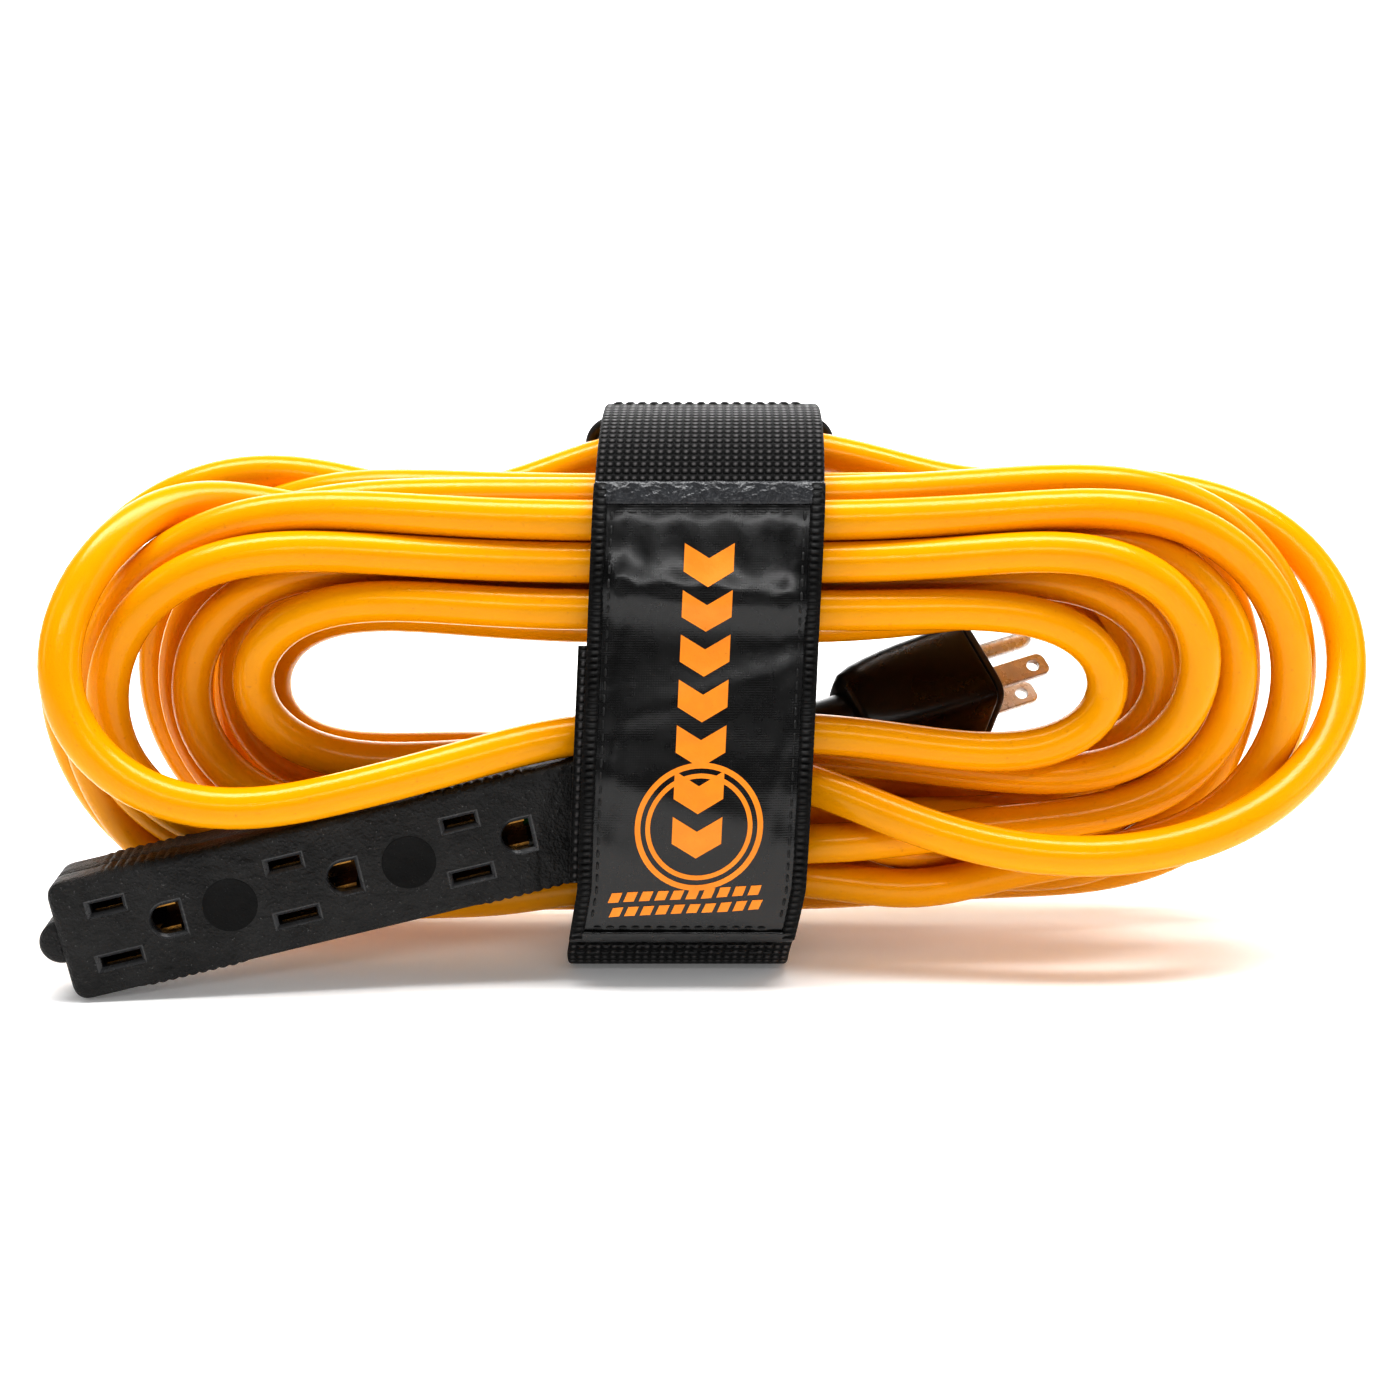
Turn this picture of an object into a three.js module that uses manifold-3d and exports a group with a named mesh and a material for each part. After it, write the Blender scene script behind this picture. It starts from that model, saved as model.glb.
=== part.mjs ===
// Outdoor extension cord with an in-line triple outlet, coiled and held by a hook-and-loop strap.
// Millimetres, +Z up. The coil stands on its long side; X runs along it and -Y is its front.
import * as THREE from 'three';
import { mergeVertices } from 'three/addons/utils/BufferGeometryUtils.js';
import Module from 'manifold-3d';

const wasm = await Module();
wasm.setup();

// Driving dimensions
const GAP = 0.3;                   // clearance between pieces that touch
const CORD_D = 9.5;                // outside diameter of the three-conductor cord
const COIL_LENGTH = 342;           // end to end over both lobes of the coil
const COIL_DEPTH = 66;             // front to back over a lobe
const COIL_RISE = 2 * 36;          // upper bundle to lower bundle, middle to middle, at the waist

const OUTLET_BODY = 120;           // full-width length of the outlet block
const OUTLET_SHOULDER = 14;        // length of its tapering shoulders
const OUTLET_WIDTH = 28;
const OUTLET_DEPTH = 20;
const OUTLET_SPLIT = 8;            // depth of the front cover
const OUTLET_WALL = 2.4;
const OUTLET_CORNER = 4;
const OUTLET_NECK = 20;            // width at the end of the shoulders
const OUTLET_YAW = 7.5;            // degrees: how the block lies against the coil
const OUTLET_TILT = 12;
const OUTLET_PLACE = [-143.6, -45.4, 13.7];
const HANG_TAB_R = 4.9;
const SOCKETS = 3;
const SOCKET_FIRST = 12.1;         // left end to the middle of the first pair of slots
const SOCKET_PITCH = 40.4;
const SLOT_SPACING = 12.7;         // 15 A, 125 V grounded pattern
const GROUND_OFFSET = 11.9;
const HOT_SLOT = [7.2, 2.2];
const NEUTRAL_SLOT = [9, 2.2];
const GROUND_HOLE = 6.8;

const BRASS = 0.8;                 // contact sheet thickness
const WIRE_D = 3;                  // one insulated conductor
const RELIEF_LENGTH = 22;          // strain relief outside the outlet's housing
const PLUG_RELIEF = 30;            // strain relief outside the plug
const RELIEF_D = [16, 12.6];
const RELIEF_SEAT = 6;             // length held inside the housing

const PLUG_PLACE = [70.4, 26, 61.5]; // middle of the plug's face
const PLUG_TURN = [-45, 13, 20];   // roll, tilt and yaw in degrees
const PLUG_LENGTH = 37;
const PLUG_WIDTH = 27;
const PLUG_HEIGHT = 25;
const BLADE = [17, 1.5, 6.35];
const GROUND_PIN_D = 4.75;
const GROUND_PIN_LENGTH = 20.5;
const BRIDGE = 2;                  // thickness of the plate that holds the blades

const STRAP_WIDTH = 52;
const WEBBING = 2;
const STRAP_LEAN = 0.045;          // sideways shift of the strap per millimetre of height
const LABEL = 0.9;
const LABEL_WIDTH = 51;
const BINDING_WIDTH = 3.2;
const TAPE = 0.7;
const RING_WIRE = 3.2;
const RING_WIDTH = 60;             // between wire middles
const RING_TOP = [31, 127.5];      // Y and Z of the bar that the webbing is sewn round
const RING_DROP = [5.5, -13.5];    // from the upper bar to the lower one
const TAIL = 2;
const TAIL_LENGTH = 76;

// Materials
const finish = (color, roughness, metalness = 0) =>
  () => new THREE.MeshStandardMaterial({ color, roughness, metalness });
const jacket = finish(0xffb400, 0.38);
const housing = finish(0x2c2c2d, 0.7);
const plugVinyl = finish(0x19191a, 0.45);
const brass = finish(0xb98a3a, 0.35, 1);
const nickel = finish(0xb9b6ae, 0.28, 1);
const blackWire = finish(0x151515, 0.5);
const whiteWire = finish(0xe8e6e0, 0.5);
const greenWire = finish(0x1f7a3a, 0.5);
const plateNylon = finish(0x3a3a3c, 0.55);
const webbingYarn = finish(0x1d1d1e, 0.9);
const labelVinyl = finish(0x141415, 0.3);
const bindingYarn = finish(0x232324, 0.85);
const fuzz = finish(0x0f0f10, 1);
const blackWireRing = finish(0x0c0c0c, 0.4, 0.6);

// Solids
function solid(geometry) {
  const bare = geometry.index ? geometry.toNonIndexed() : geometry.clone();
  bare.deleteAttribute('normal');
  bare.deleteAttribute('uv');
  const merged = mergeVertices(bare, 1e-4);
  return new wasm.Manifold(new wasm.Mesh({
    numProp: 3,
    vertProperties: Float32Array.from(merged.attributes.position.array),
    triVerts: Uint32Array.from(merged.index.array),
  }));
}

function surface(body) {
  const mesh = body.getMesh();
  const geometry = new THREE.BufferGeometry();
  geometry.setAttribute('position', new THREE.BufferAttribute(mesh.vertProperties, 3));
  geometry.setIndex(new THREE.BufferAttribute(mesh.triVerts, 1));
  return geometry;
}

const joined = (bodies) => bodies.reduce((sum, body) => sum.add(body));

function piece(parent, name, shape, material) {
  const source = shape.getMesh ? surface(shape) : shape;
  const flat = source.index ? source.toNonIndexed() : source;
  flat.computeVertexNormals();
  const mesh = new THREE.Mesh(flat, material());
  mesh.name = name;
  parent.add(mesh);
  return mesh;
}

const box = (x0, x1, y0, y1, z0, z1) => solid(
  new THREE.BoxGeometry(x1 - x0, y1 - y0, z1 - z0)
    .translate((x0 + x1) / 2, (y0 + y1) / 2, (z0 + z1) / 2));

// A rod along X, from x0 to x1.
const rod = (x0, x1, r0, r1, y, z, sides = 20) => solid(
  new THREE.CylinderGeometry(r1, r0, x1 - x0, sides)
    .rotateZ(-Math.PI / 2).translate((x0 + x1) / 2, y, z));

// A flat outline in X and Z, given depth along Y.
const slab = (outline, y0, y1, curveSegments = 6) => solid(
  new THREE.ExtrudeGeometry(outline, { depth: y1 - y0, bevelEnabled: false, curveSegments })
    .rotateX(Math.PI / 2).translate(0, y1, 0));

function roundedBox(x0, z0, x1, z1, r) {
  const outline = new THREE.Shape();
  outline.moveTo(x0 + r, z0);
  outline.lineTo(x1 - r, z0).quadraticCurveTo(x1, z0, x1, z0 + r);
  outline.lineTo(x1, z1 - r).quadraticCurveTo(x1, z1, x1 - r, z1);
  outline.lineTo(x0 + r, z1).quadraticCurveTo(x0, z1, x0, z1 - r);
  outline.lineTo(x0, z0 + r).quadraticCurveTo(x0, z0, x0 + r, z0);
  return outline;
}

// A round bar along a smooth line through the points.
function tube(points, diameter, sides, steps, closed = false) {
  const section = new THREE.Shape();
  for (let i = 0; i < sides; i++) {
    const a = 2 * Math.PI * i / sides;
    const x = Math.cos(a) * diameter / 2;
    const y = Math.sin(a) * diameter / 2;
    if (i === 0) section.moveTo(x, y);
    else section.lineTo(x, y);
  }
  const line = new THREE.CatmullRomCurve3(
    points.map((p) => new THREE.Vector3(...p)), closed, 'centripetal');
  return new THREE.ExtrudeGeometry(section, { steps, extrudePath: line });
}

// A skin over rings that all have the same number of points, closed on itself or capped.
function skin(rings, closed) {
  const count = rings[0].length;
  const positions = rings.flat().flatMap((p) => [p.x, p.y, p.z]);
  const faces = [];
  const last = closed ? rings.length : rings.length - 1;
  for (let i = 0; i < last; i++) {
    const j = (i + 1) % rings.length;
    for (let k = 0; k < count; k++) {
      const m = (k + 1) % count;
      faces.push(i * count + k, j * count + m, j * count + k);
      faces.push(i * count + k, i * count + m, j * count + m);
    }
  }
  if (!closed) {
    for (let k = 1; k < count - 1; k++) {
      faces.push(0, k + 1, k);
      const end = (rings.length - 1) * count;
      faces.push(end, end + k, end + k + 1);
    }
  }
  const geometry = new THREE.BufferGeometry();
  geometry.setAttribute('position', new THREE.Float32BufferAttribute(positions, 3));
  geometry.setIndex(faces);
  return geometry;
}

// One round-cornered section: half sizes a and b, and how square it is.
function sectionPoint(angle, a, b, power) {
  const round = (v) => Math.sign(v) * Math.abs(v) ** (2 / power);
  return [a * round(Math.cos(angle)), b * round(Math.sin(angle))];
}

const model = new THREE.Group();
const radians = (degrees) => degrees * Math.PI / 180;

// ---------------------------------------------------------------- outlet block
const outlet = new THREE.Group();
outlet.position.set(...OUTLET_PLACE);
outlet.rotation.set(0, -radians(OUTLET_TILT), radians(OUTLET_YAW), 'ZYX');
model.add(outlet);
outlet.updateMatrixWorld(true);

const outletEnd = OUTLET_BODY + OUTLET_SHOULDER;
const middle = OUTLET_DEPTH / 2;
const half = OUTLET_WIDTH / 2;

function outletOutline(inset) {
  const r = OUTLET_CORNER - inset / 2;
  const edge = half - inset;
  const neck = OUTLET_NECK / 2 - inset;
  const outline = new THREE.Shape();
  outline.moveTo(inset + r, -edge);
  outline.lineTo(OUTLET_BODY - inset, -edge);
  outline.quadraticCurveTo(outletEnd - 6, -edge, outletEnd - inset, -neck);
  outline.lineTo(outletEnd - inset, neck);
  outline.quadraticCurveTo(outletEnd - 6, edge, OUTLET_BODY - inset, edge);
  outline.lineTo(inset + r, edge);
  outline.quadraticCurveTo(inset, edge, inset, edge - r);
  outline.lineTo(inset, -edge + r);
  outline.quadraticCurveTo(inset, -edge, inset + r, -edge);
  return outline;
}

const socketX = (i) => SOCKET_FIRST + i * SOCKET_PITCH;
const groundX = (i) => socketX(i) + GROUND_OFFSET;

// A ground hole is a half round with a flat on the side away from its slots.
function groundHole(x, size) {
  const r = size / 2;
  const hole = new THREE.Shape();
  hole.moveTo(x + r, -r);
  hole.lineTo(x + r, r);
  hole.lineTo(x, r);
  hole.absarc(x, 0, r, Math.PI / 2, 1.5 * Math.PI, false);
  hole.lineTo(x + r, -r);
  return hole;
}

const reliefBore = rod(OUTLET_BODY - 4, outletEnd + 1,
  RELIEF_D[0] / 2 + GAP, RELIEF_D[0] / 2 + GAP, middle, 0, 24);

let frontCover = slab(outletOutline(0), 0, OUTLET_SPLIT)
  .subtract(slab(outletOutline(OUTLET_WALL), OUTLET_WALL, OUTLET_SPLIT + 1))
  .subtract(reliefBore);
for (let i = 0; i < SOCKETS; i++) {
  const x = socketX(i);
  const slots = [[HOT_SLOT, SLOT_SPACING / 2], [NEUTRAL_SLOT, -SLOT_SPACING / 2]];
  for (const [[long, wide], z] of slots) {
    frontCover = frontCover.subtract(
      box(x - long / 2, x + long / 2, -1, OUTLET_WALL + 1, z - wide / 2, z + wide / 2));
  }
  frontCover = frontCover.subtract(slab(groundHole(groundX(i), GROUND_HOLE), -1, OUTLET_WALL + 1, 10));
}
piece(outlet, 'outlet_front_cover', frontCover, housing);

const tab = new THREE.Shape();
tab.absarc(0, 0, HANG_TAB_R, 0, 2 * Math.PI, false);
const backCover = slab(outletOutline(0), OUTLET_SPLIT + GAP, OUTLET_DEPTH)
  .add(slab(tab, OUTLET_SPLIT + GAP, OUTLET_SPLIT + GAP + 6, 16))
  .subtract(slab(outletOutline(OUTLET_WALL), OUTLET_SPLIT, OUTLET_DEPTH - OUTLET_WALL))
  .subtract(reliefBore);
piece(outlet, 'outlet_back_cover', backCover, housing);

// Contact bars: a strip along the floor of the housing, with a pair of leaves under each opening.
function contactBar(z, stripWidth, leafX, leafLong, grip, stripY, endX) {
  const leafTop = OUTLET_WALL + 0.8;
  const start = leafX(0) - leafLong / 2;
  const parts = [box(start, endX, stripY, stripY + BRASS, z - stripWidth / 2, z + stripWidth / 2)];
  for (let i = 0; i < SOCKETS; i++) {
    for (const side of [-1, 1]) {
      const inner = z + side * grip / 2;
      const outer = inner + side * BRASS;
      parts.push(box(leafX(i) - leafLong / 2, leafX(i) + leafLong / 2, leafTop, stripY + BRASS / 2,
        Math.min(inner, outer), Math.max(inner, outer)));
    }
  }
  return joined(parts);
}

const stripY = OUTLET_DEPTH - OUTLET_WALL - GAP - BRASS;
const barEnd = groundX(SOCKETS - 1) + 7;
const bladeGrip = BLADE[1] + 0.2;
const pinGrip = GROUND_PIN_D + 0.2;
const barWidth = bladeGrip + 2 * BRASS;
piece(outlet, 'hot_contact_bar', contactBar(SLOT_SPACING / 2, barWidth, socketX,
  HOT_SLOT[0] - 1, bladeGrip, stripY, barEnd), brass);
piece(outlet, 'neutral_contact_bar', contactBar(-SLOT_SPACING / 2, barWidth, socketX,
  NEUTRAL_SLOT[0] - 1, bladeGrip, stripY, barEnd), brass);
piece(outlet, 'ground_contact_bar', contactBar(0, pinGrip + 2 * BRASS, groundX,
  GROUND_HOLE - 2, pinGrip, stripY, barEnd), brass);

// Conductor ends from the contact bars to the cord.
const cordStart = outletEnd + 2;
const wires = [['hot', 1, blackWire], ['neutral', -1, whiteWire], ['ground', 0, greenWire]];
for (const [name, side, colour] of wires) {
  const barZ = side * SLOT_SPACING / 2;
  const y = stripY - GAP - WIRE_D / 2;
  const cordY = middle + (side === 0 ? 1.9 : -1.1);
  const route = [[barEnd - 5, y, barZ], [barEnd + 1, y, barZ],
    [OUTLET_BODY, (y + cordY) / 2, barZ * 0.6], [cordStart - 5, cordY, side * 1.9],
    [cordStart - GAP, cordY, side * 1.9]];
  piece(outlet, `outlet_${name}_wire`, tube(route, WIRE_D, 8, 12), colour);
}

// Strain relief: a tapered sleeve moulded onto the cord, seated in the shoulders.
function reliefSleeve(start, length, large, small) {
  const bore = CORD_D / 2 + GAP;
  return rod(start - RELIEF_SEAT, start, large, large, 0, 0, 24)
    .add(rod(start - 1, start + length, large, small, 0, 0, 24))
    .subtract(rod(start - RELIEF_SEAT - 1, start + length + 1, bore, bore, 0, 0, 20));
}
const outletRelief = reliefSleeve(outletEnd, RELIEF_LENGTH, RELIEF_D[0] / 2, RELIEF_D[1] / 2);
piece(outlet, 'outlet_strain_relief', outletRelief.translate([0, middle, 0]), housing);

// ---------------------------------------------------------------- plug
const plug = new THREE.Group();
plug.position.set(...PLUG_PLACE);
plug.rotation.set(radians(PLUG_TURN[0]), -radians(PLUG_TURN[1]), radians(PLUG_TURN[2]), 'ZYX');
model.add(plug);
plug.updateMatrixWorld(true);

const plugSections = [
  [-PLUG_LENGTH, 0.62, 2.4], [-0.8 * PLUG_LENGTH, 0.8, 3], [-0.55 * PLUG_LENGTH, 0.96, 4.5],
  [-BRIDGE - GAP, 1, 6],
];
const plugSides = 24;
const plugRing = ([x, scale, power], inset = 0) => [...Array(plugSides).keys()].map((k) => {
  const angle = 2 * Math.PI * (k + 0.5) / plugSides;
  const [y, z] = sectionPoint(angle, PLUG_WIDTH / 2 * scale - inset,
    PLUG_HEIGHT / 2 * scale - inset, power);
  return new THREE.Vector3(x, y, z);
});
const plugBore = rod(-PLUG_LENGTH - 1, -PLUG_LENGTH + RELIEF_SEAT + GAP,
  RELIEF_D[0] / 2 - 0.2 + GAP, RELIEF_D[0] / 2 - 0.2 + GAP, 0, 0, 24);
const pocket = box(-PLUG_LENGTH + RELIEF_SEAT, 0, -SLOT_SPACING / 2 - 2.2, SLOT_SPACING / 2 + 2.2,
  -4, 4);
const plugBody = solid(skin(plugSections.map((s) => plugRing(s)), false))
  .subtract(plugBore).subtract(pocket);
piece(plug, 'plug_body', plugBody, plugVinyl);

const pinZ = GROUND_OFFSET - 4;
const bladeZ = -4;
let bridge = solid(skin([plugRing([-BRIDGE, 1, 6], 0.4), plugRing([0, 1, 6], 0.4)], false));
for (const side of [-1, 1]) {
  const y = side * SLOT_SPACING / 2;
  bridge = bridge.subtract(box(-BRIDGE - 1, 1, y - BLADE[1] / 2 - GAP, y + BLADE[1] / 2 + GAP,
    bladeZ - BLADE[2] / 2 - GAP, bladeZ + BLADE[2] / 2 + GAP));
}
const pinHole = GROUND_PIN_D / 2 + GAP;
bridge = bridge.subtract(rod(-BRIDGE - 1, 1, pinHole, pinHole, 0, pinZ));
piece(plug, 'plug_face_plate', bridge, plateNylon);

for (const [name, side] of [['hot', -1], ['neutral', 1]]) {
  const y = side * SLOT_SPACING / 2;
  const tip = BLADE[0] - 4;
  const blade = box(-BRIDGE, BLADE[0], y - BLADE[1] / 2, y + BLADE[1] / 2,
    bladeZ - BLADE[2] / 2, bladeZ + BLADE[2] / 2)
    .subtract(solid(new THREE.CylinderGeometry(1.6, 1.6, 4, 16).translate(tip, y, bladeZ)));
  piece(plug, `plug_${name}_blade`, blade, nickel);
}
piece(plug, 'plug_ground_pin', rod(-BRIDGE, GROUND_PIN_LENGTH - 2, GROUND_PIN_D / 2,
  GROUND_PIN_D / 2, 0, pinZ, 16).add(rod(GROUND_PIN_LENGTH - 2.01, GROUND_PIN_LENGTH,
  GROUND_PIN_D / 2, GROUND_PIN_D / 2 - 1.2, 0, pinZ, 16)), nickel);

const plugCordEnd = -PLUG_LENGTH + RELIEF_SEAT - 2 - GAP;
for (const [name, side, colour] of wires) {
  const y = side * 3.6;
  const z = side === 0 ? 2.2 : -1.6;
  piece(plug, `plug_${name}_wire`, tube([[-BRIDGE - GAP - 0.2, y, z],
    [-PLUG_LENGTH / 2, y * 0.8, z], [-PLUG_LENGTH + RELIEF_SEAT + 1.6, y * 0.52, z]],
  WIRE_D, 8, 6), colour);
}
const plugRelief = reliefSleeve(0, PLUG_RELIEF, RELIEF_D[0] / 2 - 0.2, RELIEF_D[1] / 2)
  .rotate([0, 0, 180]).translate([-PLUG_LENGTH - GAP, 0, 0]);
piece(plug, 'plug_strain_relief', plugRelief, plugVinyl);

// ---------------------------------------------------------------- cord
const inWorld = (group, x, y, z) => new THREE.Vector3(x, y, z).applyMatrix4(group.matrixWorld);
const listed = (point) => [point.x, point.y, point.z];

// The loose stretch at the outlet runs out of its strain relief and onto the coil's front.
const outletLead = [
  ...[cordStart, outletEnd + RELIEF_LENGTH - 3, outletEnd + RELIEF_LENGTH + 4].map(
    (x) => listed(inWorld(outlet, x, middle, 0))),
  [18, -17.5, 46.3], [30, -20.5, 43], [46, -24.5, 37.5], [68, -28.5, 31], [97, -30, 28.5],
];
// The loose stretch at the plug runs down into the lower bundle behind the strap.
const plugLead = [
  ...[plugCordEnd, -PLUG_LENGTH - PLUG_RELIEF + 3, -PLUG_LENGTH - PLUG_RELIEF - 4].map(
    (x) => listed(inWorld(plug, x, 0, 0))),
  [-14, 5.5, 42], [-34, 8, 41],
];
const leadTube = (points, extra = 0) => tube(points, CORD_D + 2 * extra, 10, 24);
piece(model, 'cord_outlet_lead', leadTube(outletLead), jacket);
piece(model, 'cord_plug_lead', leadTube(plugLead), jacket);

// The coil: a waisted ring with two rounded lobes. Stations run round it, each with its place
// in X and Z, half thickness, half depth, and how far its middle stands back.
const lobe = 37;
const reach = COIL_LENGTH / 2 - lobe;
const crown = COIL_DEPTH / 2;
const upper = 66 + COIL_RISE / 2;
const lower = 67 - COIL_RISE / 2;
const stations = [
  [reach, 63, lobe, crown, 6], [112, 92, 28, crown - 2, 6], [62, upper, 19, 26, 4],
  [0, upper, 20, 23, 2], [-62, upper, 19, 26, 5], [-112, 91, 28, crown, 8],
  [-reach, 62, lobe, crown + 2, 11], [-112, 34, 36.5, crown, 11], [-62, lower, 26, 25, 8],
  [0, lower + 2.5, 25, 20, 8], [62, lower, 27, 25, 5], [112, 34, 36.5, crown - 2, 6],
];
const coilSteps = 72;
const coilSides = 14;
const places = new THREE.CatmullRomCurve3(
  stations.map(([x, z]) => new THREE.Vector3(x, 0, z)), true, 'centripetal');
const sizes = new THREE.CatmullRomCurve3(
  stations.map(([, , a, b, y]) => new THREE.Vector3(a, b, y)), true, 'catmullrom', 0.5);
const coilRings = [...Array(coilSteps).keys()].map((i) => {
  const at = places.getPoint(i / coilSteps);
  const along = places.getTangent(i / coilSteps);
  const out = new THREE.Vector3(along.z, 0, -along.x);
  const size = sizes.getPoint(i / coilSteps);
  return [...Array(coilSides).keys()].map((k) => {
    const [a, b] = sectionPoint(2 * Math.PI * k / coilSides, size.x, size.y, 3);
    return at.clone().addScaledVector(out, a).setY(size.z + b);
  });
});
const clearOutlet = slab(outletOutline(-1), -1, OUTLET_DEPTH + 1)
  .add(rod(OUTLET_BODY, outletEnd + RELIEF_LENGTH + 1, RELIEF_D[0] / 2 + 1.5,
    RELIEF_D[1] / 2 + 1, middle, 0));
const clearPlug = solid(skin([plugRing([-PLUG_LENGTH - 1, 0.7, 2.4]),
  plugRing([-0.8 * PLUG_LENGTH, 0.9, 3]), plugRing([-0.55 * PLUG_LENGTH, 1.04, 4.5]),
  plugRing([GROUND_PIN_LENGTH + 2, 1.05, 6])], false))
  .add(rod(-PLUG_LENGTH - PLUG_RELIEF - 1, -PLUG_LENGTH, RELIEF_D[1] / 2 + 1,
    RELIEF_D[0] / 2 + 1, 0, 0));
const placed = (body, group) => solid(surface(body).applyMatrix4(group.matrixWorld));
const coil = solid(skin(coilRings, true))
  .subtract(box(-300, 300, -100, 100, -50, 0))
  .subtract(placed(clearOutlet, outlet))
  .subtract(placed(clearPlug, plug))
  .subtract(solid(leadTube(outletLead, GAP)))
  .subtract(solid(leadTube(plugLead, GAP)));
const coilParts = coil.decompose().sort((a, b) => b.volume() - a.volume());
piece(model, 'cord_coil', coilParts[0], jacket);

// ---------------------------------------------------------------- strap
// The strap's line in Y and Z: from the ring, over the top, down the front, under, and up the back.
const ringTop = new THREE.Vector2(...RING_TOP);
const ringLow = ringTop.clone().add(new THREE.Vector2(...RING_DROP));
const eyeletR = RING_WIRE / 2 + 0.6;
const strapLine = new THREE.CatmullRomCurve3([
  [ringTop.x, ringTop.y + eyeletR + WEBBING / 2], [20, 131.4], [8, 131], [-5, 128],
  [-17, 121.5], [-25.5, 112], [-28.5, 100], [-30, 83], [-33, 63], [-35, 47], [-35, 30],
  [-31.5, 15], [-24, 4.2], [-13, 1.3], [0, 1.3], [12, 1.3], [23, 3.2], [31, 12], [33, 28],
  [33.3, 50], [33.5, 75], [33.6, 92], [33.7, 103],
].map(([y, z]) => new THREE.Vector3(y, z, 0)), false, 'centripetal');

// A length of strap: from and to are shares of the line, out is its distance outside the line.
function band(line, from, to, out, thickness, x0, x1, steps) {
  const inner = [];
  const outer = [];
  for (let i = 0; i <= steps; i++) {
    const t = from + (to - from) * i / steps;
    const at = line.getPointAt(t);
    const along = line.getTangentAt(t);
    const normal = new THREE.Vector2(along.y, -along.x);
    inner.push(new THREE.Vector2(at.x, at.y).addScaledVector(normal, out - thickness / 2));
    outer.push(new THREE.Vector2(at.x, at.y).addScaledVector(normal, out + thickness / 2));
  }
  const outline = new THREE.Shape([...inner, ...outer.reverse()]);
  return solid(new THREE.ExtrudeGeometry(outline, { depth: x1 - x0, bevelEnabled: false })
    .rotateX(Math.PI / 2).rotateZ(Math.PI / 2).translate(x0, 0, 0));
}

// The whole strap leans a little, because it was pulled tight at a slant.
const leanMatrix = new THREE.Matrix4().set(
  1, 0, STRAP_LEAN, -STRAP_LEAN * 67, 0, 1, 0, 0, 0, 0, 1, 0, 0, 0, 0, 1);
const leaning = (body) => surface(body).applyMatrix4(leanMatrix);
const strapHalf = STRAP_WIDTH / 2;
const eyeletRod = (r) => rod(-strapHalf, strapHalf, r, r, ringTop.x, ringTop.y);

const webbing = band(strapLine, 0, 1, 0, WEBBING, -strapHalf, strapHalf, 64)
  .add(eyeletRod(eyeletR + WEBBING))
  .subtract(rod(-strapHalf - 1, strapHalf + 1, eyeletR, eyeletR, ringTop.x, ringTop.y));
piece(model, 'strap_webbing', leaning(webbing), webbingYarn);

const labelOut = WEBBING / 2 + GAP + LABEL / 2;
const trimOut = labelOut + LABEL / 2 + GAP + TAPE / 2;
const labelFrom = 0.185;
const labelTo = 0.505;
const labelHalf = LABEL_WIDTH / 2;
piece(model, 'strap_label', leaning(band(strapLine, labelFrom, labelTo, labelOut, LABEL,
  -labelHalf, labelHalf, 26)), labelVinyl);
for (const [name, x0] of [['left', -labelHalf - 0.5], ['right', labelHalf - BINDING_WIDTH + 0.5]]) {
  piece(model, `label_${name}_binding`, leaning(band(strapLine, labelFrom, labelTo, trimOut, TAPE,
    x0, x0 + BINDING_WIDTH, 26)), bindingYarn);
}
const tapeHalf = labelHalf - BINDING_WIDTH + 0.5 - GAP;
piece(model, 'label_top_tape', leaning(band(strapLine, labelFrom, labelFrom + 0.014, trimOut, TAPE,
  -tapeHalf, tapeHalf, 3)), bindingYarn);
piece(model, 'label_bottom_tape', leaning(band(strapLine, labelTo - 0.014, labelTo, trimOut, TAPE,
  -tapeHalf, tapeHalf, 3)), bindingYarn);

const loopOut = WEBBING / 2 + GAP + TAPE / 2;
piece(model, 'strap_loop_tape', leaning(band(strapLine, 0.8, 0.965, loopOut, TAPE,
  -strapHalf + 2, strapHalf - 2, 12)), fuzz);

// Ring: round wire, bent to a flat loop with round corners.
const ringHalf = RING_WIDTH / 2;
const bend = 6;
const ringPoint = (x, along) => [x, ringTop.x + (ringLow.x - ringTop.x) * along,
  ringTop.y + (ringLow.y - ringTop.y) * along];
const ringCorner = (side, end) => [...Array(5).keys()].map((k) => {
  const a = Math.PI / 2 * k / 4;
  const drop = Math.hypot(...RING_DROP);
  const inward = bend / drop * (1 - Math.sin(a));
  const x = side * (ringHalf - bend + bend * Math.cos(a));
  return ringPoint(x, end === 0 ? inward : 1 - inward);
});
const ringLine = [
  ...ringCorner(1, 0), ringPoint(0, 0), ...ringCorner(-1, 0).reverse(),
  ...ringCorner(-1, 1), ringPoint(0, 1), ...ringCorner(1, 1).reverse(),
];
piece(model, 'strap_ring', leaning(solid(tube(ringLine, RING_WIRE, 8, 72, true))), blackWireRing);

// Tail: the free end, turned over the ring's lower bar and pressed down on the loop tape.
const tailY = ringLow.x + RING_WIRE / 2 + GAP + TAIL / 2;
const tailLine = new THREE.CatmullRomCurve3([
  [tailY + 0.2, ringLow.y], [tailY + 0.2, ringLow.y - TAIL_LENGTH * 0.35],
  [tailY - 0.1, ringLow.y - TAIL_LENGTH * 0.7], [tailY - 0.1, ringLow.y - TAIL_LENGTH],
].map(([y, z]) => new THREE.Vector3(y, z, 0)));
const tailHalf = strapHalf - 1;
piece(model, 'strap_tail', leaning(band(tailLine, 0, 1, 0, TAIL, -tailHalf, tailHalf, 10)),
  webbingYarn);
piece(model, 'strap_hook_tape', leaning(band(tailLine, 0.3, 0.97, TAIL / 2 + GAP + TAPE / 2, TAPE,
  -tailHalf + 2, tailHalf - 2, 8)), fuzz);

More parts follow.
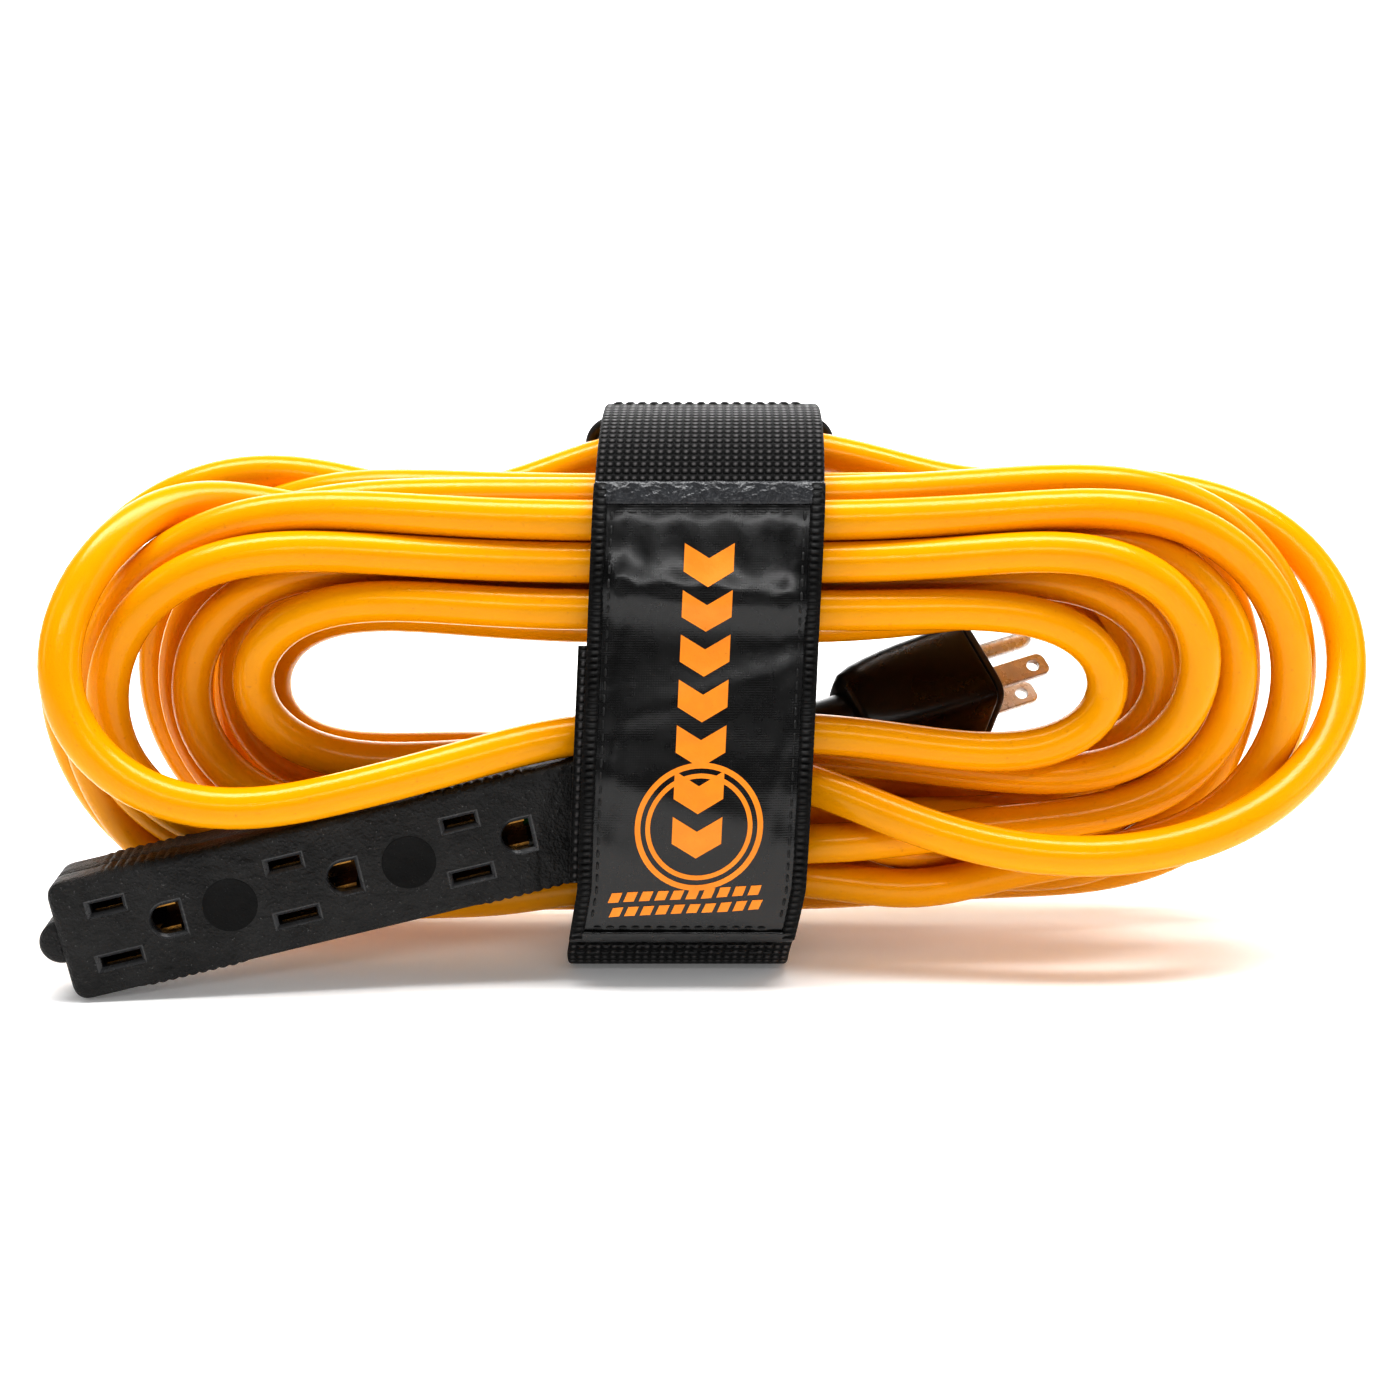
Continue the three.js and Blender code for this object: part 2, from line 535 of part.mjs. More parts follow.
// The origin is the bottom centre of the whole object.
const bounds = new THREE.Box3().setFromObject(model, true);
const centre = bounds.getCenter(new THREE.Vector3());
model.position.set(-centre.x, -centre.y, -bounds.min.z);
model.updateMatrixWorld(true);

export default model;
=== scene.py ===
import math

import bmesh
import bpy
import numpy as np
from mathutils import Matrix, Vector
from mathutils.geometry import tessellate_polygon


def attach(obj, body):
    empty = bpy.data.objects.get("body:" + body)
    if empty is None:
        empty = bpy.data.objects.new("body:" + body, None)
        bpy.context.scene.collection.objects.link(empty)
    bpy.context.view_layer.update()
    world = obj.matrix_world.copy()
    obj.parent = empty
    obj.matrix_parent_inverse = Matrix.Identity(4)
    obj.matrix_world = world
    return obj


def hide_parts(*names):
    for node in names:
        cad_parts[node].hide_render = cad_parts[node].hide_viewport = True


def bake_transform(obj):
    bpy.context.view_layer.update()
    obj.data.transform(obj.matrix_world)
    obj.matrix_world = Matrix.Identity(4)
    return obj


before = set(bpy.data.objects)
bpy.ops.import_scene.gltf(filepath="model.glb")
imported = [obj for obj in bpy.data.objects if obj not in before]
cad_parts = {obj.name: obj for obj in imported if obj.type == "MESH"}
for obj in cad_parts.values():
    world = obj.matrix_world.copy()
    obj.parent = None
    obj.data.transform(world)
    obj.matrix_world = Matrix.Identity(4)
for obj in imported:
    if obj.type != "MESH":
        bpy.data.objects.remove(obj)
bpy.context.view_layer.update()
MM = 0.001

# ---------------------------------------------------------------------------
# Studio: a white sweep under a long overhead strip of light, with a low strip
# in front, a narrow one at each side and a wide box that lights the back of the
# sweep. The camera looks down a little on the middle of the coil.
# ---------------------------------------------------------------------------
camera_data = bpy.data.cameras.new("camera")
camera_data.lens = 50
camera_data.sensor_width = 36
camera = bpy.data.objects.new("camera", camera_data)
camera.location = (0, -0.465, 0.1436)
camera.rotation_euler = (math.radians(80), 0, 0)
bpy.context.collection.objects.link(camera)
bpy.context.scene.camera = camera
bpy.context.scene.view_settings.view_transform = "Standard"
bpy.context.scene.view_settings.look = "High Contrast"


def soft_box(name, place, aim, width, height, watts):
    """A rectangular light with its face turned to the point aim."""
    data = bpy.data.lights.new(name, "AREA")
    data.shape = "RECTANGLE"
    data.size, data.size_y = width, height
    data.energy = watts
    light = bpy.data.objects.new(name, data)
    light.location = place
    light.rotation_euler = (Vector(aim) - Vector(place)).to_track_quat("-Z", "Y").to_euler()
    bpy.context.collection.objects.link(light)


soft_box("overhead_box", (0, -0.05, 0.95), (0, 0, 0), 1.3, 0.32, 11.5)
soft_box("front_box", (0.1, -0.95, 0.56), (0, 0, 0.07), 0.7, 0.1, 1.6)
soft_box("left_box", (-1.1, -0.3, 0.5), (0, 0, 0.06), 0.3, 0.8, 1)
soft_box("right_box", (1.1, -0.3, 0.5), (0, 0, 0.06), 0.3, 0.8, 1.5)
soft_box("wall_box", (0, 0.9, 1.3), (0, 2.2, 0.7), 2.4, 0.8, 60)

world = bpy.data.worlds.new("studio_air")
world.use_nodes = True
world.node_tree.nodes["Background"].inputs["Color"].default_value = (1, 1, 1, 1)
world.node_tree.nodes["Background"].inputs["Strength"].default_value = 0.1
bpy.context.scene.world = world


def mesh_object(name, verts, faces, smooth=True):
    """A mesh piece from its points in metres, linked into the scene."""
    mesh = bpy.data.meshes.new(name)
    mesh.from_pydata([tuple(v) for v in verts], [], [tuple(f) for f in faces])
    mesh.validate()
    mesh.polygons.foreach_set("use_smooth", [smooth] * len(mesh.polygons))
    piece = bpy.data.objects.new(name, mesh)
    bpy.context.collection.objects.link(piece)
    return piece


def finish_of(name, **shader):
    """A new material; returns it with its tree and its Principled shader."""
    material = bpy.data.materials.new(name)
    material.use_nodes = True
    tree = material.node_tree
    principled = tree.nodes["Principled BSDF"]
    for key, value in shader.items():
        principled.inputs[key.replace("_", " ")].default_value = value
    return material, tree, principled


floor_finish = finish_of(
    "white_sweep", Roughness=0.75, Specular_IOR_Level=0.2, Base_Color=(0.93, 0.93, 0.93, 1),
    Emission_Color=(1, 1, 1, 1), Emission_Strength=0.12)[0]
SWEEP_HALF, SWEEP_FRONT, SWEEP_BACK, SWEEP_TOP = 6, -6, 1.2, 3.0      # metres
sweep_line = [(y, 0.0) for y in np.linspace(SWEEP_FRONT, SWEEP_BACK, 6)] + [
    (SWEEP_BACK + math.sin(a), 1 - math.cos(a)) for a in np.linspace(0.15, math.pi / 2, 8)
] + [(SWEEP_BACK + 1, SWEEP_TOP)]
floor = mesh_object(
    "floor",
    [(x, y, z) for y, z in sweep_line for x in (-SWEEP_HALF, SWEEP_HALF)],
    [(2 * i, 2 * i + 1, 2 * i + 3, 2 * i + 2) for i in range(len(sweep_line) - 1)],
)
floor.data.materials.append(floor_finish)

# ---------------------------------------------------------------------------
# Cord: three 14-gauge copper conductors in an orange-yellow PVC jacket, 25 ft
# long and 9.5 mm thick. It leaves the outlet block behind the strap, makes
# thirteen laps and goes back into the plug behind the strap.
# ---------------------------------------------------------------------------
CORD_D = 9.5                       # mm
CORD_STEP = 5.5                    # mm between the points that are relaxed
DRAWN_STEP = 3.0                   # mm between the points of the finished line
STRAIGHT_HALF = 24                 # mm of each lap that lies straight, each side of the middle
LOBE_STRETCH = 1.08                # a lobe's round end, length to half height

# The laps in the order that the cord makes them, in mm. Each has its right
# lobe (reach, top, bottom, how far back), the place where it crosses under the
# strap at the top (y, z), its left lobe, and its lower crossing (y, z). None
# stands where the outlet lead, the front lobe or the plug lead takes its place.
LAPS = [
    (None, (24, 121.5), (165, 115, 6, 28), (21, 8)),
    ((149, 114, 12, 14), (-11.5, 111.5), (149, 108, 14, -6), (-6, 19)),
    ((142, 108, 24, -6), (-20.5, 106.5), (143.5, 107, 19, -14), (6, 17.5)),
    ((137, 110, 20, 20), (-3, 106.5), None, (-20, 57.5)),
    ((97.5, 85, 52.5, -20), (-22, 86.5), (106, 88, 49, -19), (-6, 49.5)),
    ((117, 99.5, 45.5, -20), (-21, 97.5), (137, 101.5, 27, -24), (-11, 28.5)),
    ((128, 103, 35.5, -10), (-11.5, 101.5), (129, 104, 22, 8), (14.5, 13)),
    ((127, 104, 24, 28), (5.5, 102), (127, 104, 22, 30), (14.5, 22.8)),
    ((112, 92, 42, -6), (-11.5, 91.5), (121, 95, 34, -12), (5.5, 27.5)),
    ((108, 97, 34, 8), (-3, 96.5), (112, 92, 38, 2), (5.5, 37.5)),
    ((118, 94, 30, 24), (5.5, 92), (119, 94, 28, 20), (-3, 36)),
    ((129, 106, 22, 30), (5.5, 111.5), (141, 108, 17, 33), (14.5, 33)),
    ((104, 84, 40, 20), (-11.5, 82), (109, 84, 44, 8), None),
]
LAST_LOW = (7, 40.5)               # where the last lap turns up to the plug
OUTLET_LEAD = [
    (-2, -16.7, 44.4), (2, -16.2, 45.3), (6.4, -15.6, 46.1), (10.3, -15.2, 46.8),
    (18, -17.5, 46.3), (30, -20.5, 43), (46, -24.5, 37.5), (68, -28.5, 32), (95, -30, 30.5), (110, -28, 32),
    (126, -22, 37), (141, -13, 44), (153, -3, 56), (159, 6, 68), (159, 11, 79), (154, 16, 90),
    (146, 20, 100), (134, 24, 107), (118, 27, 109.5), (98, 28, 109), (76, 27, 109), (64, 26, 111),
    (54, 25.5, 114.5), (42, 25, 119), (28, 24.5, 121.2),
]
HUMP_LEFT = [
    (-27, 24.5, 120.8), (-35, 24.5, 116.5), (-43, 25, 111), (-58, 26, 107.5), (-78, 28, 109.5),
]
FRONT_LOBE = [
    (-24, -1, 105.5), (-50, 3, 104), (-75, 6, 104), (-93, 6, 105), (-106, 2, 105.5),
    (-118, -9, 105), (-128, -22, 101), (-137, -32, 95), (-142, -37, 85), (-143.5, -38.5, 74),
    (-140, -39, 62), (-132, -39.5, 52), (-119, -39.5, 45.5), (-103, -39, 43.5), (-85, -37, 45),
    (-62, -33, 49), (-40, -27, 53.5), (-24, -22.5, 56.5),
]
PLUG_LEAD = [(-34, 8, 41), (-14, 5.5, 42), (3.4, 1.7, 45.2), (7.4, 3.1, 46.1), (14.7, 5.8, 47.9)]


def lobe_points(side, first, last, row):
    """Round one lobe from its lower crossing to its upper one."""
    reach, top, bottom, back = row
    half = (top - bottom) / 2
    centre_x = reach - LOBE_STRETCH * half
    centre_z = (top + bottom) / 2
    outline = []
    for share in (0.25, 0.5, 0.75):
        ease = share * share * (3 - 2 * share)
        outline.append((STRAIGHT_HALF + (centre_x - STRAIGHT_HALF) * share,
                        first[1] + (bottom - first[1]) * ease))
    for angle in np.linspace(-math.pi / 2, math.pi / 2, 11):
        outline.append((centre_x + LOBE_STRETCH * half * math.cos(angle),
                        centre_z + half * math.sin(angle)))
    for share in (0.75, 0.5, 0.25):
        ease = share * share * (3 - 2 * share)
        outline.append((STRAIGHT_HALF + (centre_x - STRAIGHT_HALF) * share,
                        last[1] + (top - last[1]) * ease))
    points = []
    for i, (x, z) in enumerate(outline):
        t = (i + 1) / (len(outline) + 1)
        base = first[0] + (last[0] - first[0]) * t * t * (3 - 2 * t)
        y = base + (back - (first[0] + last[0]) / 2) * math.sin(math.pi * t) ** 1.5
        points.append((side * x, y, z))
    return points


def coil_points():
    """All the laps end to end, with the two loose leads."""
    points = list(OUTLET_LEAD)
    low = None
    for i, (right, up, left, after) in enumerate(LAPS):
        if i:
            points += lobe_points(1, low, up, right)
        points.append((0, *up))
        if left is None:
            points += FRONT_LOBE + [(0, *after)]
        elif after:
            lap = lobe_points(-1, after, up, left)[::-1]
            points += lap if i else HUMP_LEFT + [p for p in lap if p[0] < -100 or p[2] < 60]
            points.append((0, *after))
        else:
            lap = lobe_points(-1, LAST_LOW, up, left)[::-1]
            points += [p for p in lap if p[0] < -44 or p[2] > 60] + PLUG_LEAD
        low = after
    return np.array(points, float)


def smooth_line(points, per_span):
    """Centripetal curve through the points."""
    ends = np.vstack([2 * points[0] - points[1], points, 2 * points[-1] - points[-2]])
    t = np.linspace(0, 1, per_span, endpoint=False)[:, None]
    spans = []
    for i in range(1, len(ends) - 2):
        p0, p1, p2, p3 = ends[i - 1:i + 3]
        d1, d2, d3 = (max(np.linalg.norm(b - a) ** 0.5, 1e-4)
                      for a, b in ((p0, p1), (p1, p2), (p2, p3)))
        m1 = ((p1 - p0) / d1 - (p2 - p0) / (d1 + d2)) * d2 + (p2 - p1)
        m2 = ((p3 - p2) / d3 - (p3 - p1) / (d2 + d3)) * d2 + (p2 - p1)
        spans.append((2 * t**3 - 3 * t**2 + 1) * p1 + (t**3 - 2 * t**2 + t) * m1
                     + (3 * t**2 - 2 * t**3) * p2 + (t**3 - t**2) * m2)
    return np.vstack([*spans, points[-1:]])


def even_steps(line, step):
    """The line again, with its points an even step apart."""
    along = np.r_[0, np.cumsum(np.linalg.norm(np.diff(line, axis=0), axis=1))]
    at = np.linspace(0, along[-1], int(round(along[-1] / step)) + 1)
    return np.stack([np.interp(at, along, line[:, k]) for k in range(3)], 1)


def placed_axes(roll, tilt, yaw):
    """Rotation matrix of a piece that is turned on its own axes, in degrees."""
    turn = (Matrix.Rotation(math.radians(yaw), 3, "Z")
            @ Matrix.Rotation(math.radians(-tilt), 3, "Y")
            @ Matrix.Rotation(math.radians(roll), 3, "X"))
    return np.array(turn)


# Where the outlet block and the plug lie, the sizes of both that the cord keeps
# clear of, and the room that the strap and the whole coil leave it, all in mm.
BLOCK_PLACE, BLOCK_AXES = np.array([-143.6, -45.4, 13.7]), placed_axes(0, 12, 7.5)
PLUG_PLACE, PLUG_AXES = np.array([70.4, 26, 61.5]), placed_axes(-45, 13, 20)
BLOCK_BODY, BLOCK_END, BLOCK_HALF, BLOCK_DEPTH = 120, 134, 14, 20
SLEEVE_STATIONS, SLEEVE_RADII = [BLOCK_BODY, BLOCK_END, 157], [8, 8, 6.3]
PLUG_STATIONS, PLUG_RADII = [-67.5, -38, -30, -20, 0, 1, 23], [6.4, 8, 11.5, 13.6, 13.8, 11, 11]
CLEARANCE = 0.4
ROOM_HALF, ROOM_FLOOR = 30, 7.6
ROOM_FRONT = ([5, 15, 30, 50, 83, 100, 112, 122], [-19, -25.5, -29, -29, -24.2, -22.3, -19.5, -10])
ROOM_BACK = ([5, 12, 28, 103, 120], [20, 24.5, 26, 26.5, 25])
ROOM_TOP = ([-25, -15, -5, 8, 25], [104, 116, 121, 124.5, 123])
COIL_LEFT, COIL_RIGHT, COIL_FRONT, COIL_BACK = -166, 166.5, -41, 40.8


def clear_of_round(line, place, axes, middle, stations, radii, movable):
    """Pushes the cord out of a round piece that lies along its own X axis."""
    local = (line - place) @ axes - (0, middle, 0)
    room = np.interp(local[:, 0], stations, radii) + CORD_D / 2 + CLEARANCE
    off = np.hypot(local[:, 1], local[:, 2])
    inside = ((local[:, 0] > stations[0]) & (local[:, 0] < stations[-1])
              & (off < room) & movable)
    push = local * ((room - off) / np.maximum(off, 1e-3))[:, None] * inside[:, None]
    push[:, 0] = 0
    return line + 0.5 * push @ axes.T


def clear_of_pieces(line, movable):
    """Keeps the cord outside the block, reliefs and plug, in the strap and on the floor."""
    skin = CORD_D / 2 + CLEARANCE
    u, w, v = ((line - BLOCK_PLACE) @ BLOCK_AXES).T
    neck = np.clip(BLOCK_HALF - (u - BLOCK_BODY) * 0.3, 8, BLOCK_HALF)
    half = np.where(u < BLOCK_BODY, BLOCK_HALF, neck) + skin
    inside = ((u > -skin) & (u < BLOCK_END) & (w > -skin) & (w < BLOCK_DEPTH + skin)
              & (abs(v) < half) & movable)
    behind, above = BLOCK_DEPTH + skin - w, half - v
    push = np.zeros_like(line)
    push[:, 1] = np.where(inside & (behind < above), behind, 0)
    push[:, 2] = np.where(inside & (behind >= above), above, 0)
    line = line + 0.5 * push @ BLOCK_AXES.T
    line = clear_of_round(line, BLOCK_PLACE, BLOCK_AXES, BLOCK_DEPTH / 2, SLEEVE_STATIONS,
                          SLEEVE_RADII, movable)
    line = clear_of_round(line, PLUG_PLACE, PLUG_AXES, 0, PLUG_STATIONS, PLUG_RADII, movable)
    x, y, z = line.T
    z = np.maximum(z, CORD_D / 2 + 0.1)
    front, back = np.interp(z, *ROOM_FRONT), np.interp(z, *ROOM_BACK)
    top = np.interp(y, *ROOM_TOP)
    held = abs(x) < ROOM_HALF
    y = np.where(held, np.clip(y, front, back), np.clip(y, COIL_FRONT, COIL_BACK))
    z = np.where(held, np.minimum(np.maximum(z, ROOM_FLOOR), top), z)
    return np.stack([np.clip(x, COIL_LEFT, COIL_RIGHT), y, z], 1)


TOUCH = 1.01 * CORD_D              # mm between the middles of two laps that just touch
LONGEST_PUSH = 1.2                 # mm that a point moves at most in one round
STIFFNESS = 0.35                   # share of each kink that a round takes out
MEMORY = 0.012                     # pull back towards the line as it was laid
SETTLING_ROUNDS = 160


def settle(line, rounds):
    """Lets the laps push each other a diameter apart while the cord stays smooth."""
    drawn, count = line.copy(), len(line)
    movable = np.ones(count, bool)
    movable[:8] = movable[-8:] = False
    index = np.arange(count)
    for turn in range(rounds):
        if turn % 8 == 0:
            apart = np.linalg.norm(line[:, None] - line[None], axis=2)
            one, other = np.where((apart < 2.2 * CORD_D) & (abs(index[:, None] - index) > 5))
        along = np.gradient(line, axis=0)
        along /= np.linalg.norm(along, axis=1)[:, None]
        gap = line[one] - line[other]
        slide = (gap * along[other]).sum(1)
        gap -= slide[:, None] * along[other]
        off = np.linalg.norm(gap, axis=1)
        press = np.where((abs(slide) < CORD_STEP * 0.8) & (off < TOUCH), TOUCH - off, 0)
        step = gap / np.maximum(off, 1e-4)[:, None] * press[:, None] * 0.5
        move, touches = np.zeros_like(line), np.zeros(count)
        np.add.at(move, one, step)
        np.add.at(move, other, -step)
        np.add.at(touches, one, press > 0)
        np.add.at(touches, other, press > 0)
        move /= np.maximum(touches * 0.6, 1)[:, None]
        size = np.linalg.norm(move, axis=1)
        line = line + move * np.minimum(1, LONGEST_PUSH / np.maximum(size, 1e-6))[:, None]
        for _ in range(2):
            bow = np.zeros_like(line)
            bow[1:-1] = (line[2:] + line[:-2]) / 2 - line[1:-1]
            kink = np.zeros_like(line)
            kink[2:-2] = (bow[3:-1] + bow[1:-3]) / 2 - bow[2:-2]
            line = line - STIFFNESS * kink
        if turn < 0.6 * rounds:
            line = line + MEMORY * (drawn - line)
        line = clear_of_pieces(line, movable)
        line[:4], line[-4:] = drawn[:4], drawn[-4:]
    return line


cord_line = settle(even_steps(smooth_line(coil_points(), 8), CORD_STEP), SETTLING_ROUNDS)
cord_line = even_steps(smooth_line(cord_line, 4), DRAWN_STEP)
cord_curve = bpy.data.curves.new("power_cord", "CURVE")
cord_curve.dimensions = "3D"
cord_curve.bevel_depth = CORD_D / 2 * MM
cord_curve.bevel_resolution = 8
cord_curve.use_fill_caps = True
spline = cord_curve.splines.new("POLY")
spline.points.add(len(cord_line) - 1)
spline.points.foreach_set(
    "co", np.c_[cord_line * MM, np.ones(len(cord_line))].astype(np.float32).ravel())
spline.use_smooth = True
power_cord = bpy.data.objects.new("power_cord", cord_curve)
bpy.context.collection.objects.link(power_cord)


def put(tree, kind, **settings):
    """A node with its properties and its input values set by name."""
    node = tree.nodes.new(kind)
    for key, value in settings.items():
        if hasattr(node, key):
            setattr(node, key, value)
        else:
            node.inputs[key.replace("_", " ")].default_value = value
    return node


def join(tree, source, target):
    tree.links.new(source, target)


def wired(tree, kind, sources, **settings):
    """A node with its values set and its inputs joined to what feeds them."""
    node = put(tree, kind, **settings)
    for key, source in sources.items():
        join(tree, source, node.inputs[key])
    return node


def group_of(name, inputs, outputs):
    """An empty node group with named sockets; returns it with its two end nodes."""
    group = bpy.data.node_groups.new(name, "ShaderNodeTree")
    for label, kind, value in inputs:
        socket = group.interface.new_socket(label, in_out="INPUT", socket_type=kind)
        socket.default_value = value
    for label, kind in outputs:
        group.interface.new_socket(label, in_out="OUTPUT", socket_type=kind)
    return group, group.nodes.new("NodeGroupInput"), group.nodes.new("NodeGroupOutput")


def placed_group(tree, group, **values):
    """A node group in a material, with that material's own values."""
    node = tree.nodes.new("ShaderNodeGroup")
    node.node_tree = group
    for key, value in values.items():
        node.inputs[key.replace("_", " ")].default_value = value
    return node


# Handling marks: a cloudy change of colour and gloss with fine specks of dust.
marks, marks_in, marks_out = group_of(
    "handling_marks",
    [("Color", "NodeSocketColor", (1, 1, 1, 1)), ("Dark Color", "NodeSocketColor", (0, 0, 0, 1)),
     ("Cloud Scale", "NodeSocketFloat", 60), ("Cloud Amount", "NodeSocketFloat", 0.3),
     ("Speck Scale", "NodeSocketFloat", 900), ("Speck Color", "NodeSocketColor", (1, 1, 1, 1)),
     ("Speck Amount", "NodeSocketFloat", 0.2),
     ("Roughness Low", "NodeSocketFloat", 0.3), ("Roughness High", "NodeSocketFloat", 0.5)],
    [("Color", "NodeSocketColor"), ("Roughness", "NodeSocketFloat")])
marks_place = put(marks, "ShaderNodeTexCoord").outputs["Object"]
cloud = wired(marks, "ShaderNodeTexNoise",
              {"Vector": marks_place, "Scale": marks_in.outputs["Cloud Scale"]},
              Detail=5.0, Roughness=0.6)
speck = wired(marks, "ShaderNodeTexNoise",
              {"Vector": marks_place, "Scale": marks_in.outputs["Speck Scale"]},
              Detail=2.0, Roughness=0.5)
cloud_range = wired(marks, "ShaderNodeMapRange", {"Value": cloud.outputs["Fac"]},
                    From_Min=0.35, From_Max=0.7)
cloud_share = wired(marks, "ShaderNodeMath",
                    {0: cloud_range.outputs["Result"], 1: marks_in.outputs["Cloud Amount"]},
                    operation="MULTIPLY")
shade = wired(marks, "ShaderNodeMix",
              {"Factor": cloud_share.outputs[0], "A": marks_in.outputs["Color"],
               "B": marks_in.outputs["Dark Color"]}, data_type="RGBA")
speck_range = wired(marks, "ShaderNodeMapRange", {"Value": speck.outputs["Fac"]},
                    From_Min=0.66, From_Max=0.78)
speck_share = wired(marks, "ShaderNodeMath",
                    {0: speck_range.outputs["Result"], 1: marks_in.outputs["Speck Amount"]},
                    operation="MULTIPLY")
dusted = wired(marks, "ShaderNodeMix",
               {"Factor": speck_share.outputs[0], "A": shade.outputs["Result"],
                "B": marks_in.outputs["Speck Color"]}, data_type="RGBA")
gloss = wired(marks, "ShaderNodeMapRange",
              {"Value": cloud.outputs["Fac"], "To Min": marks_in.outputs["Roughness Low"],
               "To Max": marks_in.outputs["Roughness High"]}, From_Min=0.3, From_Max=0.7)
join(marks, dusted.outputs["Result"], marks_out.inputs["Color"])
join(marks, gloss.outputs["Result"], marks_out.inputs["Roughness"])

# Moulded grain: two sizes of noise in a bump, for vinyl, nylon and rubber.
grain, grain_in, grain_out = group_of(
    "moulded_grain",
    [("Fine Scale", "NodeSocketFloat", 2500), ("Fine Height", "NodeSocketFloat", 0.1),
     ("Wave Scale", "NodeSocketFloat", 120), ("Wave Height", "NodeSocketFloat", 0.2)],
    [("Normal", "NodeSocketVector")])
grain_place = put(grain, "ShaderNodeTexCoord").outputs["Object"]
fine = wired(grain, "ShaderNodeTexNoise",
             {"Vector": grain_place, "Scale": grain_in.outputs["Fine Scale"]}, Detail=3.0)
wave = wired(grain, "ShaderNodeTexNoise",
             {"Vector": grain_place, "Scale": grain_in.outputs["Wave Scale"]}, Detail=2.0)
fine_rise = wired(grain, "ShaderNodeMath",
                  {0: fine.outputs["Fac"], 1: grain_in.outputs["Fine Height"]},
                  operation="MULTIPLY")
wave_rise = wired(grain, "ShaderNodeMath",
                  {0: wave.outputs["Fac"], 1: grain_in.outputs["Wave Height"],
                   2: fine_rise.outputs[0]}, operation="MULTIPLY_ADD")
grain_bump = wired(grain, "ShaderNodeBump", {"Height": wave_rise.outputs[0]},
                   Strength=1.0, Distance=0.001)
join(grain, grain_bump.outputs["Normal"], grain_out.inputs["Normal"])


def dressed(name, marks_values, grain_values, **shader):
    """A material with handling marks and moulded grain on it."""
    material, tree, principled = finish_of(name, **shader)
    worn = placed_group(tree, marks, **marks_values)
    rough = placed_group(tree, grain, **grain_values)
    join(tree, worn.outputs["Color"], principled.inputs["Base Color"])
    join(tree, worn.outputs["Roughness"], principled.inputs["Roughness"])
    join(tree, rough.outputs["Normal"], principled.inputs["Normal"])
    return material


jacket_vinyl = dressed(
    "jacket_vinyl",
    dict(Color=(0.86, 0.385, 0.0, 1), Dark_Color=(0.78, 0.325, 0.0, 1), Cloud_Scale=38,
         Cloud_Amount=0.45, Speck_Scale=700, Speck_Color=(0.55, 0.2, 0.01, 1), Speck_Amount=0.35,
         Roughness_Low=0.14, Roughness_High=0.25),
    dict(Fine_Scale=1800, Fine_Height=0.04, Wave_Scale=70, Wave_Height=0.12),
    Specular_IOR_Level=0.3)
power_cord.data.materials.append(jacket_vinyl)
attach(power_cord, "cord_set")
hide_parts("cord_coil", "cord_outlet_lead", "cord_plug_lead")

# ---------------------------------------------------------------------------
# Outlet block: two moulded halves of black vinyl with rounded edges, finger
# ribs along both sides, three grounded outlets with framed openings, a round
# mould mark between the outlets and a hanging tab on the end.
# ---------------------------------------------------------------------------
NECK_HALF, CORNER, EDGE_ROUND = 10, 4, 1.8
FRONT_DEPTH, SPLIT_GAP, WALL = 8, 0.3, 2.4
FIRST_SOCKET, SOCKET_PITCH, GROUND_STEP = 12.1, 40.4, 11.9
SLOT_ACROSS = 6.35
RIB_PITCH, RIB_RISE = 2.3, 0.42
RIB_RUNS = {1: [(11, 33), (84, 112)], -1: [(14, 40), (92, 117)]}


def bent(p0, p1, p2, count):
    """Points of a corner that leaves p0 and reaches p2, drawn towards p1."""
    t = np.linspace(0, 1, count)[:, None]
    return (1 - t) ** 2 * np.array(p0) + 2 * t * (1 - t) * np.array(p1) + t**2 * np.array(p2)


block_edge = np.vstack([
    [(0, 0)], bent((0, BLOCK_HALF - CORNER), (0, BLOCK_HALF), (CORNER, BLOCK_HALF), 14),
    [(u, BLOCK_HALF) for u in np.linspace(5, BLOCK_BODY - 1, 60)],
    bent((BLOCK_BODY, BLOCK_HALF), (BLOCK_END - 6, BLOCK_HALF), (BLOCK_END, NECK_HALF), 16)])


def block_point(local):
    """From the block's own axes (along, into, up) to the row frame, in metres."""
    return (np.asarray(local, float) @ BLOCK_AXES.T + BLOCK_PLACE) * MM


def ribs(u, side):
    """Height of the finger ribs at u on the upper (1) or lower (-1) edge."""
    height = np.zeros_like(u)
    for start, end in RIB_RUNS[side]:
        ease = np.clip((u - start) / 3, 0, 1) * np.clip((end - u) / 3, 0, 1)
        height = np.maximum(height, ease * abs(np.sin(math.pi * (u - start) / RIB_PITCH)))
    return RIB_RISE * height


def face_out(piece):
    """Turns every face of a closed piece outwards."""
    shell = bmesh.new()
    shell.from_mesh(piece.data)
    bmesh.ops.recalc_face_normals(shell, faces=shell.faces)
    shell.to_mesh(piece.data)
    shell.free()


def sharpen(piece, degrees):
    """Flat-shaded corners above the angle, soft ones below it."""
    shell = bmesh.new()
    shell.from_mesh(piece.data)
    for edge in shell.edges:
        if len(edge.link_faces) == 2 and edge.calc_face_angle(0) > math.radians(degrees):
            edge.smooth = False
    shell.to_mesh(piece.data)
    shell.free()


